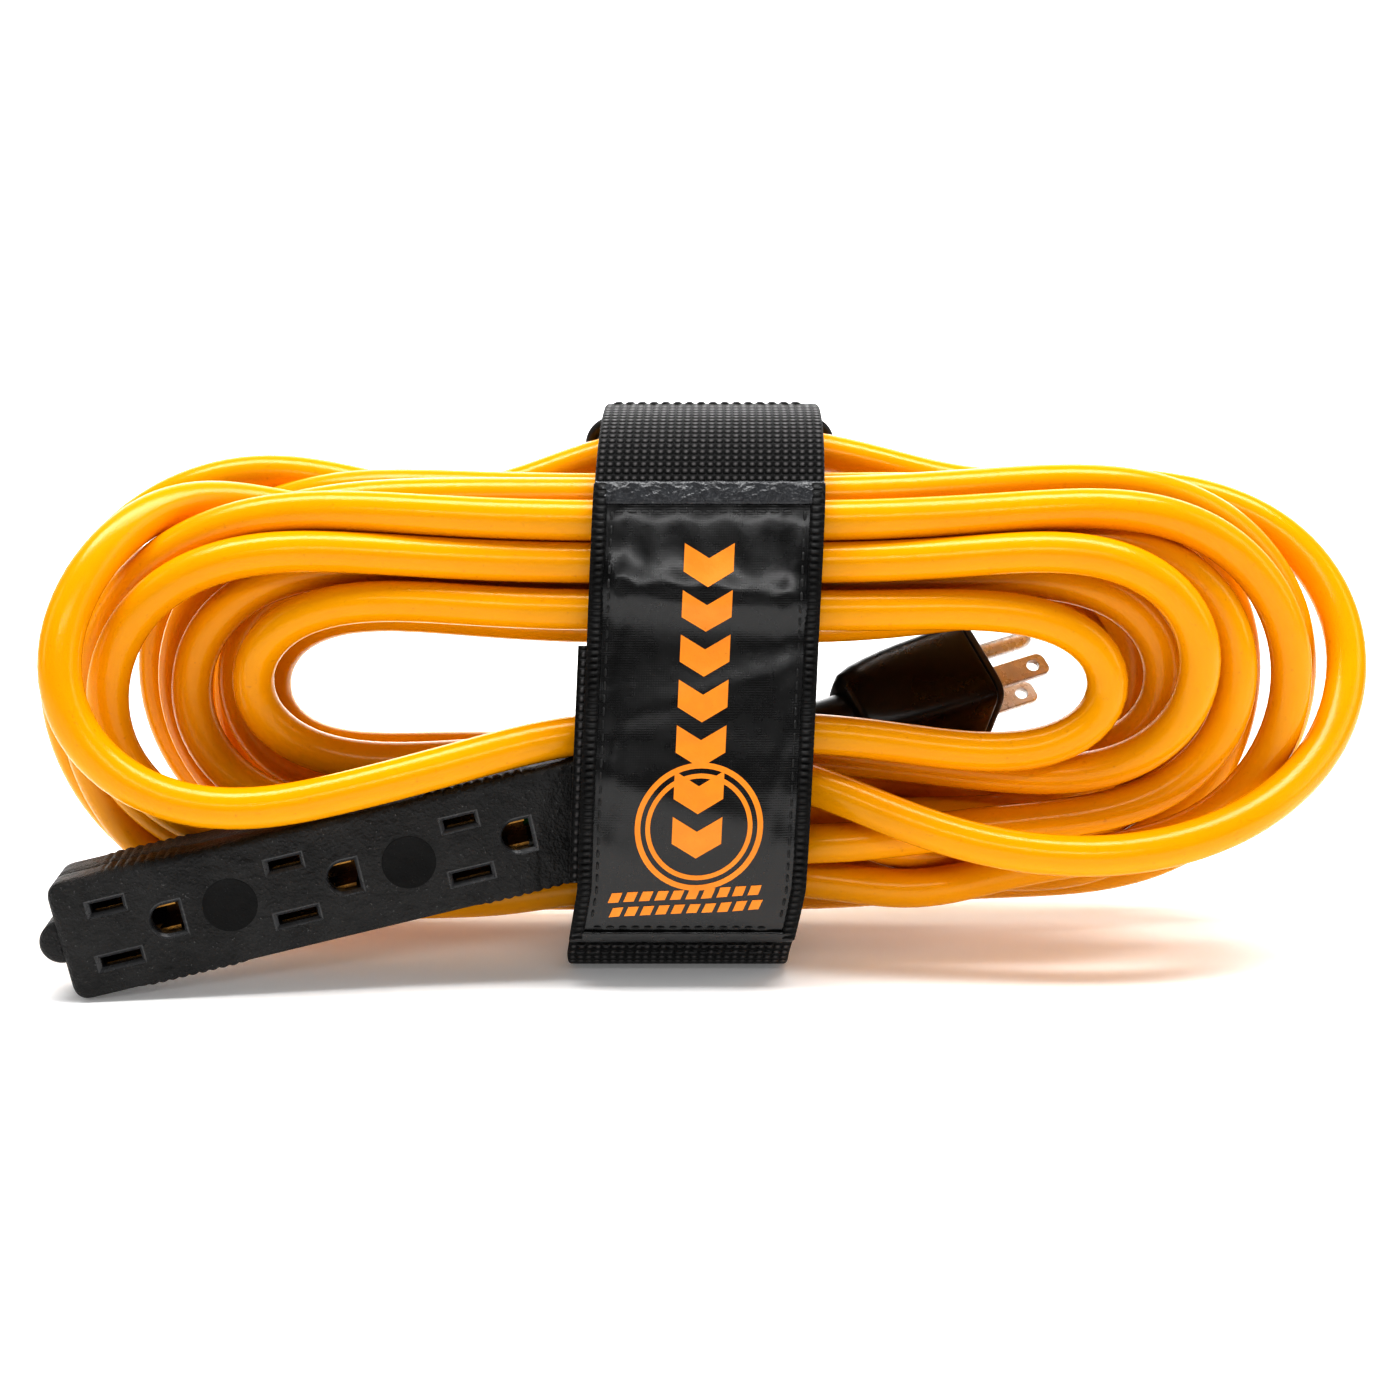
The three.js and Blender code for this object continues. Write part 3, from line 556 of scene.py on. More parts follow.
def lofted(loops, ends=True):
    """Points and faces of a skin over loops that have the same number of points."""
    count = len(loops[0])
    faces = []
    for k in range(len(loops) - 1):
        a, b = k * count, (k + 1) * count
        faces += [(a + i, a + (i + 1) % count, b + (i + 1) % count, b + i) for i in range(count)]
    if ends:
        faces += [tuple(range(count))[::-1],
                  tuple(range((len(loops) - 1) * count, len(loops) * count))]
    return np.vstack(loops), faces


def cover_mesh(name, depth, far_side):
    """One half of the housing: a rounded, ribbed skin closed by its inner cavity."""
    run = np.r_[CORNER * np.linspace(0, 1, 14) ** 2,
                np.linspace(CORNER, BLOCK_END, 312)[1:]]
    even = np.linspace(-1, 1, 63)
    rows = 0.5 * even + 0.5 * np.sin(even * math.pi / 2)
    half = np.interp(run, *block_edge[1:].T)
    u = np.repeat(run[:, None], len(rows), 1)
    v = half[:, None] * rows[None]
    apart = np.full(u.shape, 1e3)
    for a, b in zip(block_edge[:-1], block_edge[1:]):
        span = b - a
        t = np.clip(((u - a[0]) * span[0] + (abs(v) - a[1]) * span[1]) / (span @ span + 1e-9), 0, 1)
        apart = np.minimum(apart, np.hypot(u - a[0] - t * span[0], abs(v) - a[1] - t * span[1]))
    inward = np.clip(EDGE_ROUND - apart, 0, EDGE_ROUND)
    w = EDGE_ROUND - np.sqrt(EDGE_ROUND**2 - inward**2)
    near_edge = np.clip((3.2 - (half[:, None] - abs(v))) / 2.6, 0, 1)
    lift = np.where(v > 0, ribs(u, 1), ribs(u, -1)) * near_edge
    v = v + np.sign(v) * lift
    w = w - 0.5 * lift * np.clip(apart / EDGE_ROUND, 0, 1)
    if not far_side:
        brow = u - (106 + 12 * np.clip((v + 14) / 28, 0, 1) ** 1.5)
        w = w + 0.45 * np.clip(brow / 1.6, 0, 1) + 0.04 * np.clip(brow - 2, 0, 30)
    columns, lines = u.shape
    verts = [np.stack([u, w, v], 2).reshape(-1, 3)]
    loop = ([(i, 0) for i in range(columns)] + [(columns - 1, j) for j in range(1, lines)]
            + [(i, lines - 1) for i in range(columns - 2, -1, -1)]
            + [(0, j) for j in range(lines - 2, 0, -1)])
    rim = np.array([(u[k], w[k], v[k]) for k in loop])
    centre = np.array([BLOCK_END / 2, 0, 0])
    inner = rim.copy()
    inner[:, 0] = centre[0] + (rim[:, 0] - centre[0]) * (1 - 2 * WALL / BLOCK_END)
    inner[:, 2] = rim[:, 2] * (1 - WALL / BLOCK_HALF)
    for ring, level in ((rim, depth - 0.35), (rim * (1, 1, 0.985), depth), (inner, depth),
                        (inner, WALL + (0.9 if not far_side else 0))):
        ring = ring.copy()
        ring[:, 1] = level
        verts.append(ring)
    faces = [(i * lines + j, i * lines + j + 1, (i + 1) * lines + j + 1, (i + 1) * lines + j)
             for i in range(columns - 1) for j in range(lines - 1)]
    rings = [[i * lines + j for i, j in loop]]
    for k in range(4):
        start = columns * lines + k * len(loop)
        rings.append(list(range(start, start + len(loop))))
    for a, b in zip(rings[:-1], rings[1:]):
        faces += [(a[k], a[(k + 1) % len(loop)], b[(k + 1) % len(loop)], b[k])
                  for k in range(len(loop))]
    faces.append(tuple(rings[-1]))
    verts = np.vstack(verts)
    if far_side:
        verts[:, 1] = BLOCK_DEPTH - verts[:, 1]
    piece = mesh_object(name, block_point(verts), faces)
    face_out(piece)
    return piece


def opening_cutter(outline, frame_width):
    """What leaves a framed opening: wide at the face, stepping down to the outline."""
    centre = outline.mean(0)
    grown = centre + (outline - centre) * (1 + frame_width / abs(outline - centre).max(0))
    loops = [np.c_[ring[:, 0], np.full(len(ring), level), ring[:, 1]]
             for ring, level in ((grown, -0.8), (grown, 0.12), (outline * 0.35 + grown * 0.65, 0.3),
                                 (outline, 0.95), (outline, WALL + 1.6))]
    return lofted(loops)


def slot_outline(u, v, long, wide):
    """A flat slot for a blade."""
    return np.array([(u - long / 2, v - wide / 2), (u + long / 2, v - wide / 2),
                     (u + long / 2, v + wide / 2), (u - long / 2, v + wide / 2)])


def ground_outline(u, radius):
    """The D-shaped hole for the ground pin, round towards the block's end."""
    arc = [(u + radius * math.cos(a), radius * math.sin(a))
           for a in np.linspace(math.pi / 2, 1.5 * math.pi, 19)]
    return np.array(arc + [(u + radius, -radius), (u + radius, radius)])


cut_verts, cut_faces = [], []
for socket in range(3):
    u = FIRST_SOCKET + socket * SOCKET_PITCH
    for outline in (slot_outline(u, SLOT_ACROSS, 7.2, 2.2), slot_outline(u, -SLOT_ACROSS, 9, 2.2),
                    ground_outline(u + GROUND_STEP, 3.4)):
        points, faces = opening_cutter(outline, 1.0)
        shift = sum(len(p) for p in cut_verts)
        cut_verts.append(points)
        cut_faces += [tuple(i + shift for i in f) for f in faces]
cutter = mesh_object("opening_cutter", block_point(np.vstack(cut_verts)), cut_faces, smooth=False)
face_out(cutter)

housing_vinyl = dressed(
    "housing_vinyl",
    dict(Color=(0.008, 0.0078, 0.0076, 1), Dark_Color=(0.028, 0.0275, 0.027, 1), Cloud_Scale=75,
         Cloud_Amount=1.0, Speck_Scale=1500, Speck_Color=(0.12, 0.12, 0.12, 1), Speck_Amount=0.7,
         Roughness_Low=0.4, Roughness_High=0.55),
    dict(Fine_Scale=1500, Fine_Height=0.55, Wave_Scale=330, Wave_Height=0.9),
    Specular_IOR_Level=0.35)
# The cut faces of the openings get a lighter grey than the black housing: a painted highlight on their
# bevelled frames.
painted_highlight_rim = dressed(
    "painted_highlight_rim",
    dict(Color=(0.055, 0.056, 0.058, 1), Dark_Color=(0.02, 0.02, 0.021, 1), Cloud_Scale=300,
         Cloud_Amount=0.5, Speck_Scale=2600, Speck_Color=(0.16, 0.16, 0.16, 1), Speck_Amount=0.3,
         Roughness_Low=0.22, Roughness_High=0.34),
    dict(Fine_Scale=2000, Fine_Height=0.04, Wave_Scale=300, Wave_Height=0.05))

front_half = cover_mesh("outlet_front", FRONT_DEPTH, False)
front_half.data.materials.append(housing_vinyl)
cutter.data.materials.append(painted_highlight_rim)
cut = front_half.modifiers.new("openings", "BOOLEAN")
cut.object, cut.operation, cut.solver = cutter, "DIFFERENCE", "EXACT"
cut.material_mode = "TRANSFER"
depsgraph = bpy.context.evaluated_depsgraph_get()
opened = bpy.data.meshes.new_from_object(front_half.evaluated_get(depsgraph))
front_half.modifiers.clear()
front_half.data = opened
bpy.data.objects.remove(cutter)
sharpen(front_half, 32)

back_half = cover_mesh("outlet_back", BLOCK_DEPTH - FRONT_DEPTH - SPLIT_GAP, True)
back_half.data.materials.append(housing_vinyl)
sharpen(back_half, 50)

# The hanging tab on the end, and the two mould marks: flat discs in a low rim.
tab_loops = []
for level, radius in ((1.6, 3.6), (1.9, 4.3), (2.8, 4.9), (12.8, 4.9), (13.8, 4.3), (14.2, 3.6)):
    tab_loops.append([(radius * math.cos(a), level, radius * math.sin(a))
                      for a in np.linspace(0, 2 * math.pi, 40, endpoint=False)])
tab_verts, tab_faces = lofted([np.array(ring) for ring in tab_loops])
hanging_tab = mesh_object("outlet_hanging_tab", block_point(tab_verts), tab_faces)
face_out(hanging_tab)
sharpen(hanging_tab, 55)
hanging_tab.data.materials.append(housing_vinyl)

MARK_SIDES = 72
mark_verts, mark_faces = [], []
for centre in (38.6, 79.7):
    rings = [[(centre + r * math.cos(a), level, r * math.sin(a))
              for r, level in ((5.85, -0.02), (5.95, -0.05), (6.1, -0.05), (6.2, 0.02))]
             for a in np.linspace(0, 2 * math.pi, MARK_SIDES, endpoint=False)]
    shift = len(mark_verts)
    mark_verts += [p for ring in rings for p in ring]
    for k in range(MARK_SIDES):
        a, b = shift + 4 * k, shift + 4 * ((k + 1) % MARK_SIDES)
        mark_faces += [(a + i, a + i + 1, b + i + 1, b + i) for i in range(3)]
    mark_faces.append(tuple(shift + 4 * k for k in range(MARK_SIDES)))
mould_marks = mesh_object("outlet_mould_marks", block_point(mark_verts), mark_faces)
face_out(mould_marks)
mould_marks.data.materials.append(dressed(
    "mark_vinyl",
    dict(Color=(0.006, 0.006, 0.006, 1), Dark_Color=(0.014, 0.014, 0.014, 1), Cloud_Scale=120,
         Cloud_Amount=0.8, Speck_Scale=2600, Speck_Color=(0.09, 0.09, 0.09, 1), Speck_Amount=0.3,
         Roughness_Low=0.45, Roughness_High=0.6),
    dict(Fine_Scale=1700, Fine_Height=0.15, Wave_Scale=260, Wave_Height=0.3),
    Specular_IOR_Level=0.2))

for piece in (front_half, back_half, hanging_tab, mould_marks):
    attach(piece, "cord_set")
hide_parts("outlet_front_cover")
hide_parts("outlet_back_cover")

# ---------------------------------------------------------------------------
# Contacts and conductors: stamped brass bars with spring leaves under each
# opening, and the three stripped conductors that are crimped to them.
# ---------------------------------------------------------------------------
# The brass is darkened far below its own colour as painted shade of the deep openings; its clouds and
# specks are wear.
painted_shade_brass = dressed(
    "painted_shade_brass",
    dict(Color=(0.3, 0.17, 0.05, 1), Dark_Color=(0.14, 0.07, 0.025, 1), Cloud_Scale=220,
         Cloud_Amount=0.6, Speck_Scale=1800, Speck_Color=(0.6, 0.4, 0.15, 1), Speck_Amount=0.3,
         Roughness_Low=0.2, Roughness_High=0.4),
    dict(Fine_Scale=3000, Fine_Height=0.05, Wave_Scale=400, Wave_Height=0.05), Metallic=1.0)


def insulation(name, colour, shadow):
    """The thin coloured vinyl round one conductor."""
    return dressed(
        name,
        dict(Color=colour, Dark_Color=shadow, Cloud_Scale=200, Cloud_Amount=0.4, Speck_Scale=1500,
             Speck_Color=shadow, Speck_Amount=0.2, Roughness_Low=0.35, Roughness_High=0.5),
        dict(Fine_Scale=2400, Fine_Height=0.04, Wave_Scale=300, Wave_Height=0.08))


def redress(names, material):
    """Gives carried-over CAD pieces their material."""
    for name in names:
        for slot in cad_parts[name].material_slots:
            slot.material = material


redress(["hot_contact_bar", "neutral_contact_bar", "ground_contact_bar"], painted_shade_brass)
redress(["outlet_hot_wire", "plug_hot_wire"],
        insulation("insulation_black", (0.012, 0.012, 0.012, 1), (0.03, 0.03, 0.03, 1)))
redress(["outlet_neutral_wire", "plug_neutral_wire"],
        insulation("insulation_white", (0.8, 0.78, 0.72, 1), (0.6, 0.57, 0.5, 1)))
redress(["outlet_ground_wire", "plug_ground_wire"],
        insulation("insulation_green", (0.02, 0.22, 0.06, 1), (0.01, 0.12, 0.03, 1)))

# ---------------------------------------------------------------------------
# Strain reliefs: tapered vinyl sleeves moulded onto the cord, with a collar
# and flex slots at the outlet and a plain smooth cone at the plug.
# ---------------------------------------------------------------------------
def sleeve(name, stations, to_frame, bore, sides=40):
    """A turned sleeve along its own X, from (x, radius) pairs, open for the cord."""
    inside = [(stations[-1][0], bore), (stations[0][0], bore)]
    loops = [np.array([(x, r * math.cos(a), r * math.sin(a))
                       for a in np.linspace(0, 2 * math.pi, sides, endpoint=False)])
             for x, r in stations + inside]
    verts, faces = lofted(loops + [loops[0]], ends=False)
    last = len(loops) * sides
    verts = verts[:last]
    faces = [tuple(i % last for i in face) for face in faces]
    piece = mesh_object(name, to_frame(verts), faces)
    face_out(piece)
    sharpen(piece, 40)
    return piece


def ringed(start, end, large, small, grooves):
    """A taper with shallow flex grooves."""
    stations = [(start - 6, large), (start, large)]
    for x in np.linspace(start + 0.6, end - 0.8, 60):
        share = (x - start) / (end - start)
        groove = max(0, math.cos(2 * math.pi * grooves * share)) ** 3 if 0.12 < share < 0.92 else 0
        stations.append((x, large + (small - large) * share - 0.8 * groove))
    return stations + [(end - 0.2, small - 0.05), (end, small - 0.4)]


BORE = CORD_D / 2 + 0.02
outlet_sleeve = sleeve("outlet_sleeve", ringed(BLOCK_END, BLOCK_END + 22, 8, 6.3, 6),
                       lambda p: block_point(p + (0, BLOCK_DEPTH / 2, 0)), BORE)
outlet_sleeve.data.materials.append(housing_vinyl)
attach(outlet_sleeve, "cord_set")
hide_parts("outlet_strain_relief")


def plug_point(local):
    """From the plug's own axes to the row frame, in metres."""
    return (np.asarray(local, float) @ PLUG_AXES.T + PLUG_PLACE) * MM


plug_vinyl = dressed(
    "plug_vinyl",
    dict(Color=(0.0045, 0.0042, 0.004, 1), Dark_Color=(0.009, 0.0088, 0.0085, 1), Cloud_Scale=90,
         Cloud_Amount=0.6, Speck_Scale=1600, Speck_Color=(0.07, 0.07, 0.07, 1), Speck_Amount=0.25,
         Roughness_Low=0.22, Roughness_High=0.4),
    dict(Fine_Scale=2400, Fine_Height=0.05, Wave_Scale=120, Wave_Height=0.25))
plug_sleeve = sleeve(
    "plug_sleeve",
    [(-x, r) for x, r in [(30.8, 7.8), (37.3, 7.8), (42, 7.6), (50, 7.1), (58, 6.7), (66, 6.35),
                          (67.1, 6.2), (67.3, 5.8)]],
    plug_point, BORE)
plug_sleeve.data.materials.append(plug_vinyl)
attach(plug_sleeve, "cord_set")
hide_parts("plug_strain_relief")

# ---------------------------------------------------------------------------
# Plug: a smooth black vinyl body moulded round the conductors, a nylon bridge
# that holds the blades, two nickel-plated brass blades and a round ground pin.
# ---------------------------------------------------------------------------
PLUG_WIDTH, PLUG_HEIGHT, PLUG_LENGTH, PLUG_FACE = 27, 25, 37, 2.3


def plug_ring(x, scale, power, sides=64):
    """A section of the plug at x: round at power 2, squarer as the power rises."""
    def squared(value):
        return np.sign(value) * abs(value) ** (2 / power)

    turn = np.linspace(0, 2 * math.pi, sides, endpoint=False)
    return np.stack([np.full(sides, x), PLUG_WIDTH / 2 * scale * squared(np.cos(turn)),
                     PLUG_HEIGHT / 2 * scale * squared(np.sin(turn))], 1)


body_stations = np.array([
    (-PLUG_LENGTH, 0.7, 2.5), (-36.8, 0.78, 2.8), (-36, 0.85, 3.4), (-33, 0.9, 4.4), (-29, 0.93, 5.2),
    (-24, 0.955, 6), (-19, 0.97, 6.6), (-14, 0.98, 7), (-8, 0.992, 7.4), (-4, 1.0, 7.6),
    (-3, 0.997, 7.6), (-2.5, 0.985, 7.6), (-PLUG_FACE, 0.955, 7.6)])
body_at = np.linspace(0, len(body_stations) - 1, 49)
body_rows = np.stack([np.interp(body_at, np.arange(len(body_stations)), body_stations[:, k])
                      for k in range(3)], 1)
body_verts, body_faces = lofted([plug_ring(*row) for row in body_rows])
plug_body = mesh_object("plug_moulding", plug_point(body_verts), body_faces)
face_out(plug_body)
sharpen(plug_body, 60)
plug_body.data.materials.append(plug_vinyl)

face_nylon = dressed(
    "face_nylon",
    dict(Color=(0.03, 0.03, 0.032, 1), Dark_Color=(0.018, 0.018, 0.019, 1), Cloud_Scale=160,
         Cloud_Amount=0.5, Speck_Scale=2000, Speck_Color=(0.1, 0.1, 0.1, 1), Speck_Amount=0.3,
         Roughness_Low=0.4, Roughness_High=0.55),
    dict(Fine_Scale=2600, Fine_Height=0.08, Wave_Scale=300, Wave_Height=0.1))
face_verts, face_faces = lofted([plug_ring(*row) for row in (
    (-1.98, 0.94, 6), (-1.7, 0.965, 6), (-0.4, 0.965, 6), (0, 0.94, 6))])
plug_bridge = mesh_object("plug_bridge", plug_point(face_verts), face_faces)
face_out(plug_bridge)
sharpen(plug_bridge, 50)
plug_bridge.data.materials.append(face_nylon)

blade_nickel = dressed(
    "blade_nickel",
    dict(Color=(0.7, 0.71, 0.73, 1), Dark_Color=(0.52, 0.53, 0.55, 1), Cloud_Scale=260,
         Cloud_Amount=0.5, Speck_Scale=2200, Speck_Color=(0.3, 0.27, 0.22, 1), Speck_Amount=0.4,
         Roughness_Low=0.2, Roughness_High=0.36),
    dict(Fine_Scale=3500, Fine_Height=0.06, Wave_Scale=700, Wave_Height=0.05), Metallic=0.35)

BLADE_LONG, BLADE_THICK, BLADE_WIDE, BLADE_LOW = 17, 1.5, 6.35, -4
TIP_ROUND, HOLE_RADIUS, HOLE_FROM_TIP, HOLE_SIDES = 2.0, 1.6, 4, 24


def blade_mesh(name, across):
    """A flat blade with a rounded tip, broken edges and a round hole near the tip."""
    def outline(inset):
        r = TIP_ROUND
        x1, z = BLADE_LONG - inset, BLADE_WIDE / 2 - inset
        tip = [(x1 - r + r * math.cos(a), z - r + r * math.sin(a))
               for a in np.linspace(math.pi / 2, 0, 7)]
        return [(-1.9, z)] + tip + [(x, -y) for x, y in tip[::-1]] + [(-1.9, -z)]

    def hole(grow):
        r = HOLE_RADIUS + grow
        return [(BLADE_LONG - HOLE_FROM_TIP + r * math.cos(a), r * math.sin(a))
                for a in np.linspace(0, 2 * math.pi, HOLE_SIDES, endpoint=False)]

    half = BLADE_THICK / 2
    outer = [(outline(0.25), -half), (outline(0), -half + 0.25), (outline(0), half - 0.25),
             (outline(0.25), half)]
    inner = [(hole(0.15), -half), (hole(0), -half + 0.15), (hole(0), half - 0.15),
             (hole(0.15), half)]
    verts, faces = [], []
    for wall in (outer, inner):
        base, count = len(verts), len(wall[0][0])
        for ring, y in wall:
            verts += [(x, across + y, BLADE_LOW + z) for x, z in ring]
        for k in range(3):
            faces += [(base + k * count + i, base + k * count + (i + 1) % count,
                       base + (k + 1) * count + (i + 1) % count, base + (k + 1) * count + i)
                      for i in range(count)]
    flat = tessellate_polygon([[Vector((x, z, 0)) for x, z in outline(0.25)],
                               [Vector((x, z, 0)) for x, z in hole(0.15)]])
    edge_count, hole_start = len(outer[0][0]), 4 * len(outer[0][0])
    for layer in (0, 3):
        def corner(i):
            return (layer * edge_count + i if i < edge_count
                    else hole_start + layer * HOLE_SIDES + i - edge_count)
        faces += [tuple(corner(i) for i in triangle) for triangle in flat]
    piece = mesh_object(name, plug_point(verts), faces, smooth=False)
    face_out(piece)
    piece.data.materials.append(blade_nickel)
    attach(piece, "cord_set")
    return piece


hot_blade = blade_mesh("hot_blade", -SLOT_ACROSS)
neutral_blade = blade_mesh("neutral_blade", SLOT_ACROSS)
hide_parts("plug_hot_blade")
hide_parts("plug_neutral_blade")

PIN_RADIUS, PIN_STRAIGHT, PIN_HEIGHT = 2.37, 16.5, 7.9
pin_rows = [(-1.9, PIN_RADIUS), (PIN_STRAIGHT, PIN_RADIUS)] + [
    (PIN_STRAIGHT + 4 * math.sin(a), 0.35 + 2.02 * math.cos(a))
    for a in np.linspace(0.1, math.pi / 2, 12)]
pin_verts, pin_faces = lofted([
    np.array([(x, r * math.cos(a), PIN_HEIGHT + r * math.sin(a))
              for a in np.linspace(0, 2 * math.pi, 32, endpoint=False)]) for x, r in pin_rows])
ground_pin = mesh_object("ground_pin", plug_point(pin_verts), pin_faces)
face_out(ground_pin)
sharpen(ground_pin, 50)
ground_pin.data.materials.append(blade_nickel)
for piece, slot, node in ((plug_body, "plug_vinyl", "plug_body"),
                          (plug_bridge, "face_plate", "plug_face_plate"),
                          (ground_pin, "blade", "plug_ground_pin")):
    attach(piece, "cord_set")
    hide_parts(node)

# The cord ends in the plug, so this list gathers the plug's pieces.
on_the_cord = [plug_body, plug_bridge, hot_blade, neutral_blade, ground_pin, plug_sleeve]
on_the_cord += [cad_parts[name]
                for name in ("plug_hot_wire", "plug_neutral_wire", "plug_ground_wire")]

# ---------------------------------------------------------------------------
# Strap: 52 mm black polypropylene webbing, 2 mm thick, sewn round the ring's
# upper bar. It goes over the coil, down its front, under it and up its back.
# ---------------------------------------------------------------------------
STRAP_HALF, WEBBING = 26, 2
LEAN, LEAN_LEVEL = 0.045, 67                         # the strap leans to the right as it rises
FOOT_SHIFT, FOOT_TOP, FOOT_RISE = 2.4, 24, 18        # and its foot is pulled to the left
LINE_STEP = 0.5                                      # mm between the points of a strap line
CUT_UNIT = 0.01                                      # of the cut's own map, for each mm of cloth
RING_BAR, RING_LOW_BAR, RING_WIRE = (31, 127.5), (36.5, 114), 3.2
strap_line = np.array([
    (31, 130.7), (20, 131.4), (8, 131), (-5, 128), (-17, 121.5), (-25.5, 112), (-28.5, 100),
    (-30, 83), (-33, 63), (-35, 47), (-35, 30), (-31.5, 15), (-24, 4.2), (-13, 1.3), (0, 1.3),
    (12, 1.3), (23, 3.2), (31, 12), (33, 28), (33.3, 50), (33.5, 75), (33.6, 92), (33.7, 103)],
    float)


def measured(line):
    """A smooth line in (y, z), even along it, with its outward normals and its length."""
    run = even_steps(np.c_[np.zeros(len(line) * 12 - 11), smooth_line(line, 12)], LINE_STEP)[:, 1:]
    along = np.gradient(run, axis=0)
    along /= np.linalg.norm(along, axis=1)[:, None]
    return run, np.stack([along[:, 1], -along[:, 0]], 1), LINE_STEP * (len(run) - 1)


def band_point(line, s, x, out):
    """Row-frame metres for s mm along a strap line, x across it and out from it."""
    run, normal, _ = line
    at = np.clip(s / LINE_STEP, 0, len(run) - 1)
    index = np.arange(len(run))
    y = np.interp(at, index, run[:, 0]) + out * np.interp(at, index, normal[:, 0])
    z = np.interp(at, index, run[:, 1]) + out * np.interp(at, index, normal[:, 1])
    foot = FOOT_SHIFT * np.clip((FOOT_TOP - z) / FOOT_RISE, 0, 1)
    return np.stack([x + LEAN * (z - LEAN_LEVEL) - foot, y, z], -1) * MM


def band_mesh(name, line, start, end, x0, x1, low, high, step=1.2, across=2.0, edge=0.8,
              rise=None):
    """A strip of fabric along a line, with soft edges; rise shapes its outer face."""
    s = np.linspace(start, end, max(3, int((end - start) / step)))
    wide = max(3, int((x1 - x0 - 2 * edge) / across))
    soft = edge * np.array([0, 0.12, 0.4, 0.75])
    x = np.r_[x0 + soft, np.linspace(x0 + edge, x1 - edge, wide), (x1 - soft)[::-1]]
    middle, half = (low + high) / 2, (high - low) / 2
    near = np.clip(np.minimum(x - x0, x1 - x) / edge, 0, 1)
    thick = half * np.sqrt(1 - (1 - near) ** 2)
    tip = np.clip(np.minimum(s - start, end - s) / edge, 0, 1)
    thick = thick[None] * (0.35 + 0.65 * np.sqrt(1 - (1 - tip[:, None]) ** 2))
    S, X = np.meshgrid(s, x, indexing="ij")
    lift = rise(X, S) if rise else 0
    top = band_point(line, S, X, middle + thick + lift)
    bottom = band_point(line, S, X, middle - thick + lift * (0.6 if rise else 0))
    rows, columns = S.shape
    verts = np.vstack([top.reshape(-1, 3), bottom.reshape(-1, 3)])
    grid = np.arange(rows * columns).reshape(rows, columns)
    quads = np.stack([grid[:-1, :-1], grid[1:, :-1], grid[1:, 1:], grid[:-1, 1:]], -1)
    quads = quads.reshape(-1, 4)
    loop = np.r_[grid[0, :], grid[1:, -1], grid[-1, -2::-1], grid[-2:0:-1, 0]]
    after = np.roll(loop, -1)
    under = rows * columns
    faces = np.vstack([quads, quads[:, ::-1] + under,
                       np.stack([loop, after, after + under, loop + under], -1)])
    piece = mesh_object(name, verts, faces.tolist())
    face_out(piece)
    layer = piece.data.uv_layers.new(name="cut")
    uv = np.stack([np.r_[X.ravel(), X.ravel()], np.r_[S.ravel(), S.ravel()]], 1) * CUT_UNIT
    picked = np.zeros(len(piece.data.loops), int)
    piece.data.loops.foreach_get("vertex_index", picked)
    layer.data.foreach_set("uv", uv[picked].astype(np.float32).ravel())
    return piece


# Webbing weave: rows of yarn crowns with hollows between them; the crowns are
# painted lighter as painted highlight and the hollows near black as painted shade.
# It reads the cut's own millimetres, so the rows run straight across every strip.
weave, weave_in, weave_out = group_of(
    "webbing_weave",
    [("Crown Color", "NodeSocketColor", (0.1, 0.1, 0.1, 1)),
     ("Hollow Color", "NodeSocketColor", (0, 0, 0, 1)),
     ("Across", "NodeSocketFloat", 1.8), ("Along", "NodeSocketFloat", 2.0),
     ("Depth", "NodeSocketFloat", 0.5)],
    [("Color", "NodeSocketColor"), ("Normal", "NodeSocketVector"), ("Crown", "NodeSocketFloat")])
cut_place = put(weave, "ShaderNodeUVMap", uv_map="cut")
cut_axes = wired(weave, "ShaderNodeSeparateXYZ", {0: cut_place.outputs["UV"]})
waves = []
for axis, pitch in (("X", "Across"), ("Y", "Along")):
    turns = wired(weave, "ShaderNodeMath", {1: weave_in.outputs[pitch]}, operation="DIVIDE")
    turns.inputs[0].default_value = math.pi / CUT_UNIT
    phase = wired(weave, "ShaderNodeMath", {0: cut_axes.outputs[axis], 1: turns.outputs[0]},
                  operation="MULTIPLY")
    waves.append(wired(weave, "ShaderNodeMath", {0: phase.outputs[0]}, operation="COSINE"))
crossed = wired(weave, "ShaderNodeMath", {0: waves[0].outputs[0], 1: waves[1].outputs[0]},
                operation="MULTIPLY")
crown = wired(weave, "ShaderNodeMath", {0: crossed.outputs[0]}, operation="ABSOLUTE")
fibre_place = put(weave, "ShaderNodeTexCoord").outputs["Object"]
fibre = wired(weave, "ShaderNodeTexNoise", {"Vector": fibre_place}, Scale=3200.0, Detail=2.0)
fibre_lift = wired(weave, "ShaderNodeMath", {0: fibre.outputs["Fac"], 2: crown.outputs[0]},
                   operation="MULTIPLY_ADD")
fibre_lift.inputs[1].default_value = 0.3
height = wired(weave, "ShaderNodeMath", {0: fibre_lift.outputs[0], 1: weave_in.outputs["Depth"]},
               operation="MULTIPLY")
weave_bump = wired(weave, "ShaderNodeBump", {"Height": height.outputs[0]},
                   Strength=1.0, Distance=0.001)
crown_share = wired(weave, "ShaderNodeMapRange", {"Value": fibre_lift.outputs[0]},
                    From_Min=0.6, From_Max=1.15)
# Painted light: the crowns take the lighter painted-highlight colour, the hollows the painted-shade colour.
yarn_shade = wired(weave, "ShaderNodeMix",
                   {"Factor": crown_share.outputs["Result"],
                    "A": weave_in.outputs["Hollow Color"], "B": weave_in.outputs["Crown Color"]},
                   data_type="RGBA")
join(weave, yarn_shade.outputs["Result"], weave_out.inputs["Color"])
join(weave, weave_bump.outputs["Normal"], weave_out.inputs["Normal"])
join(weave, crown_share.outputs["Result"], weave_out.inputs["Crown"])


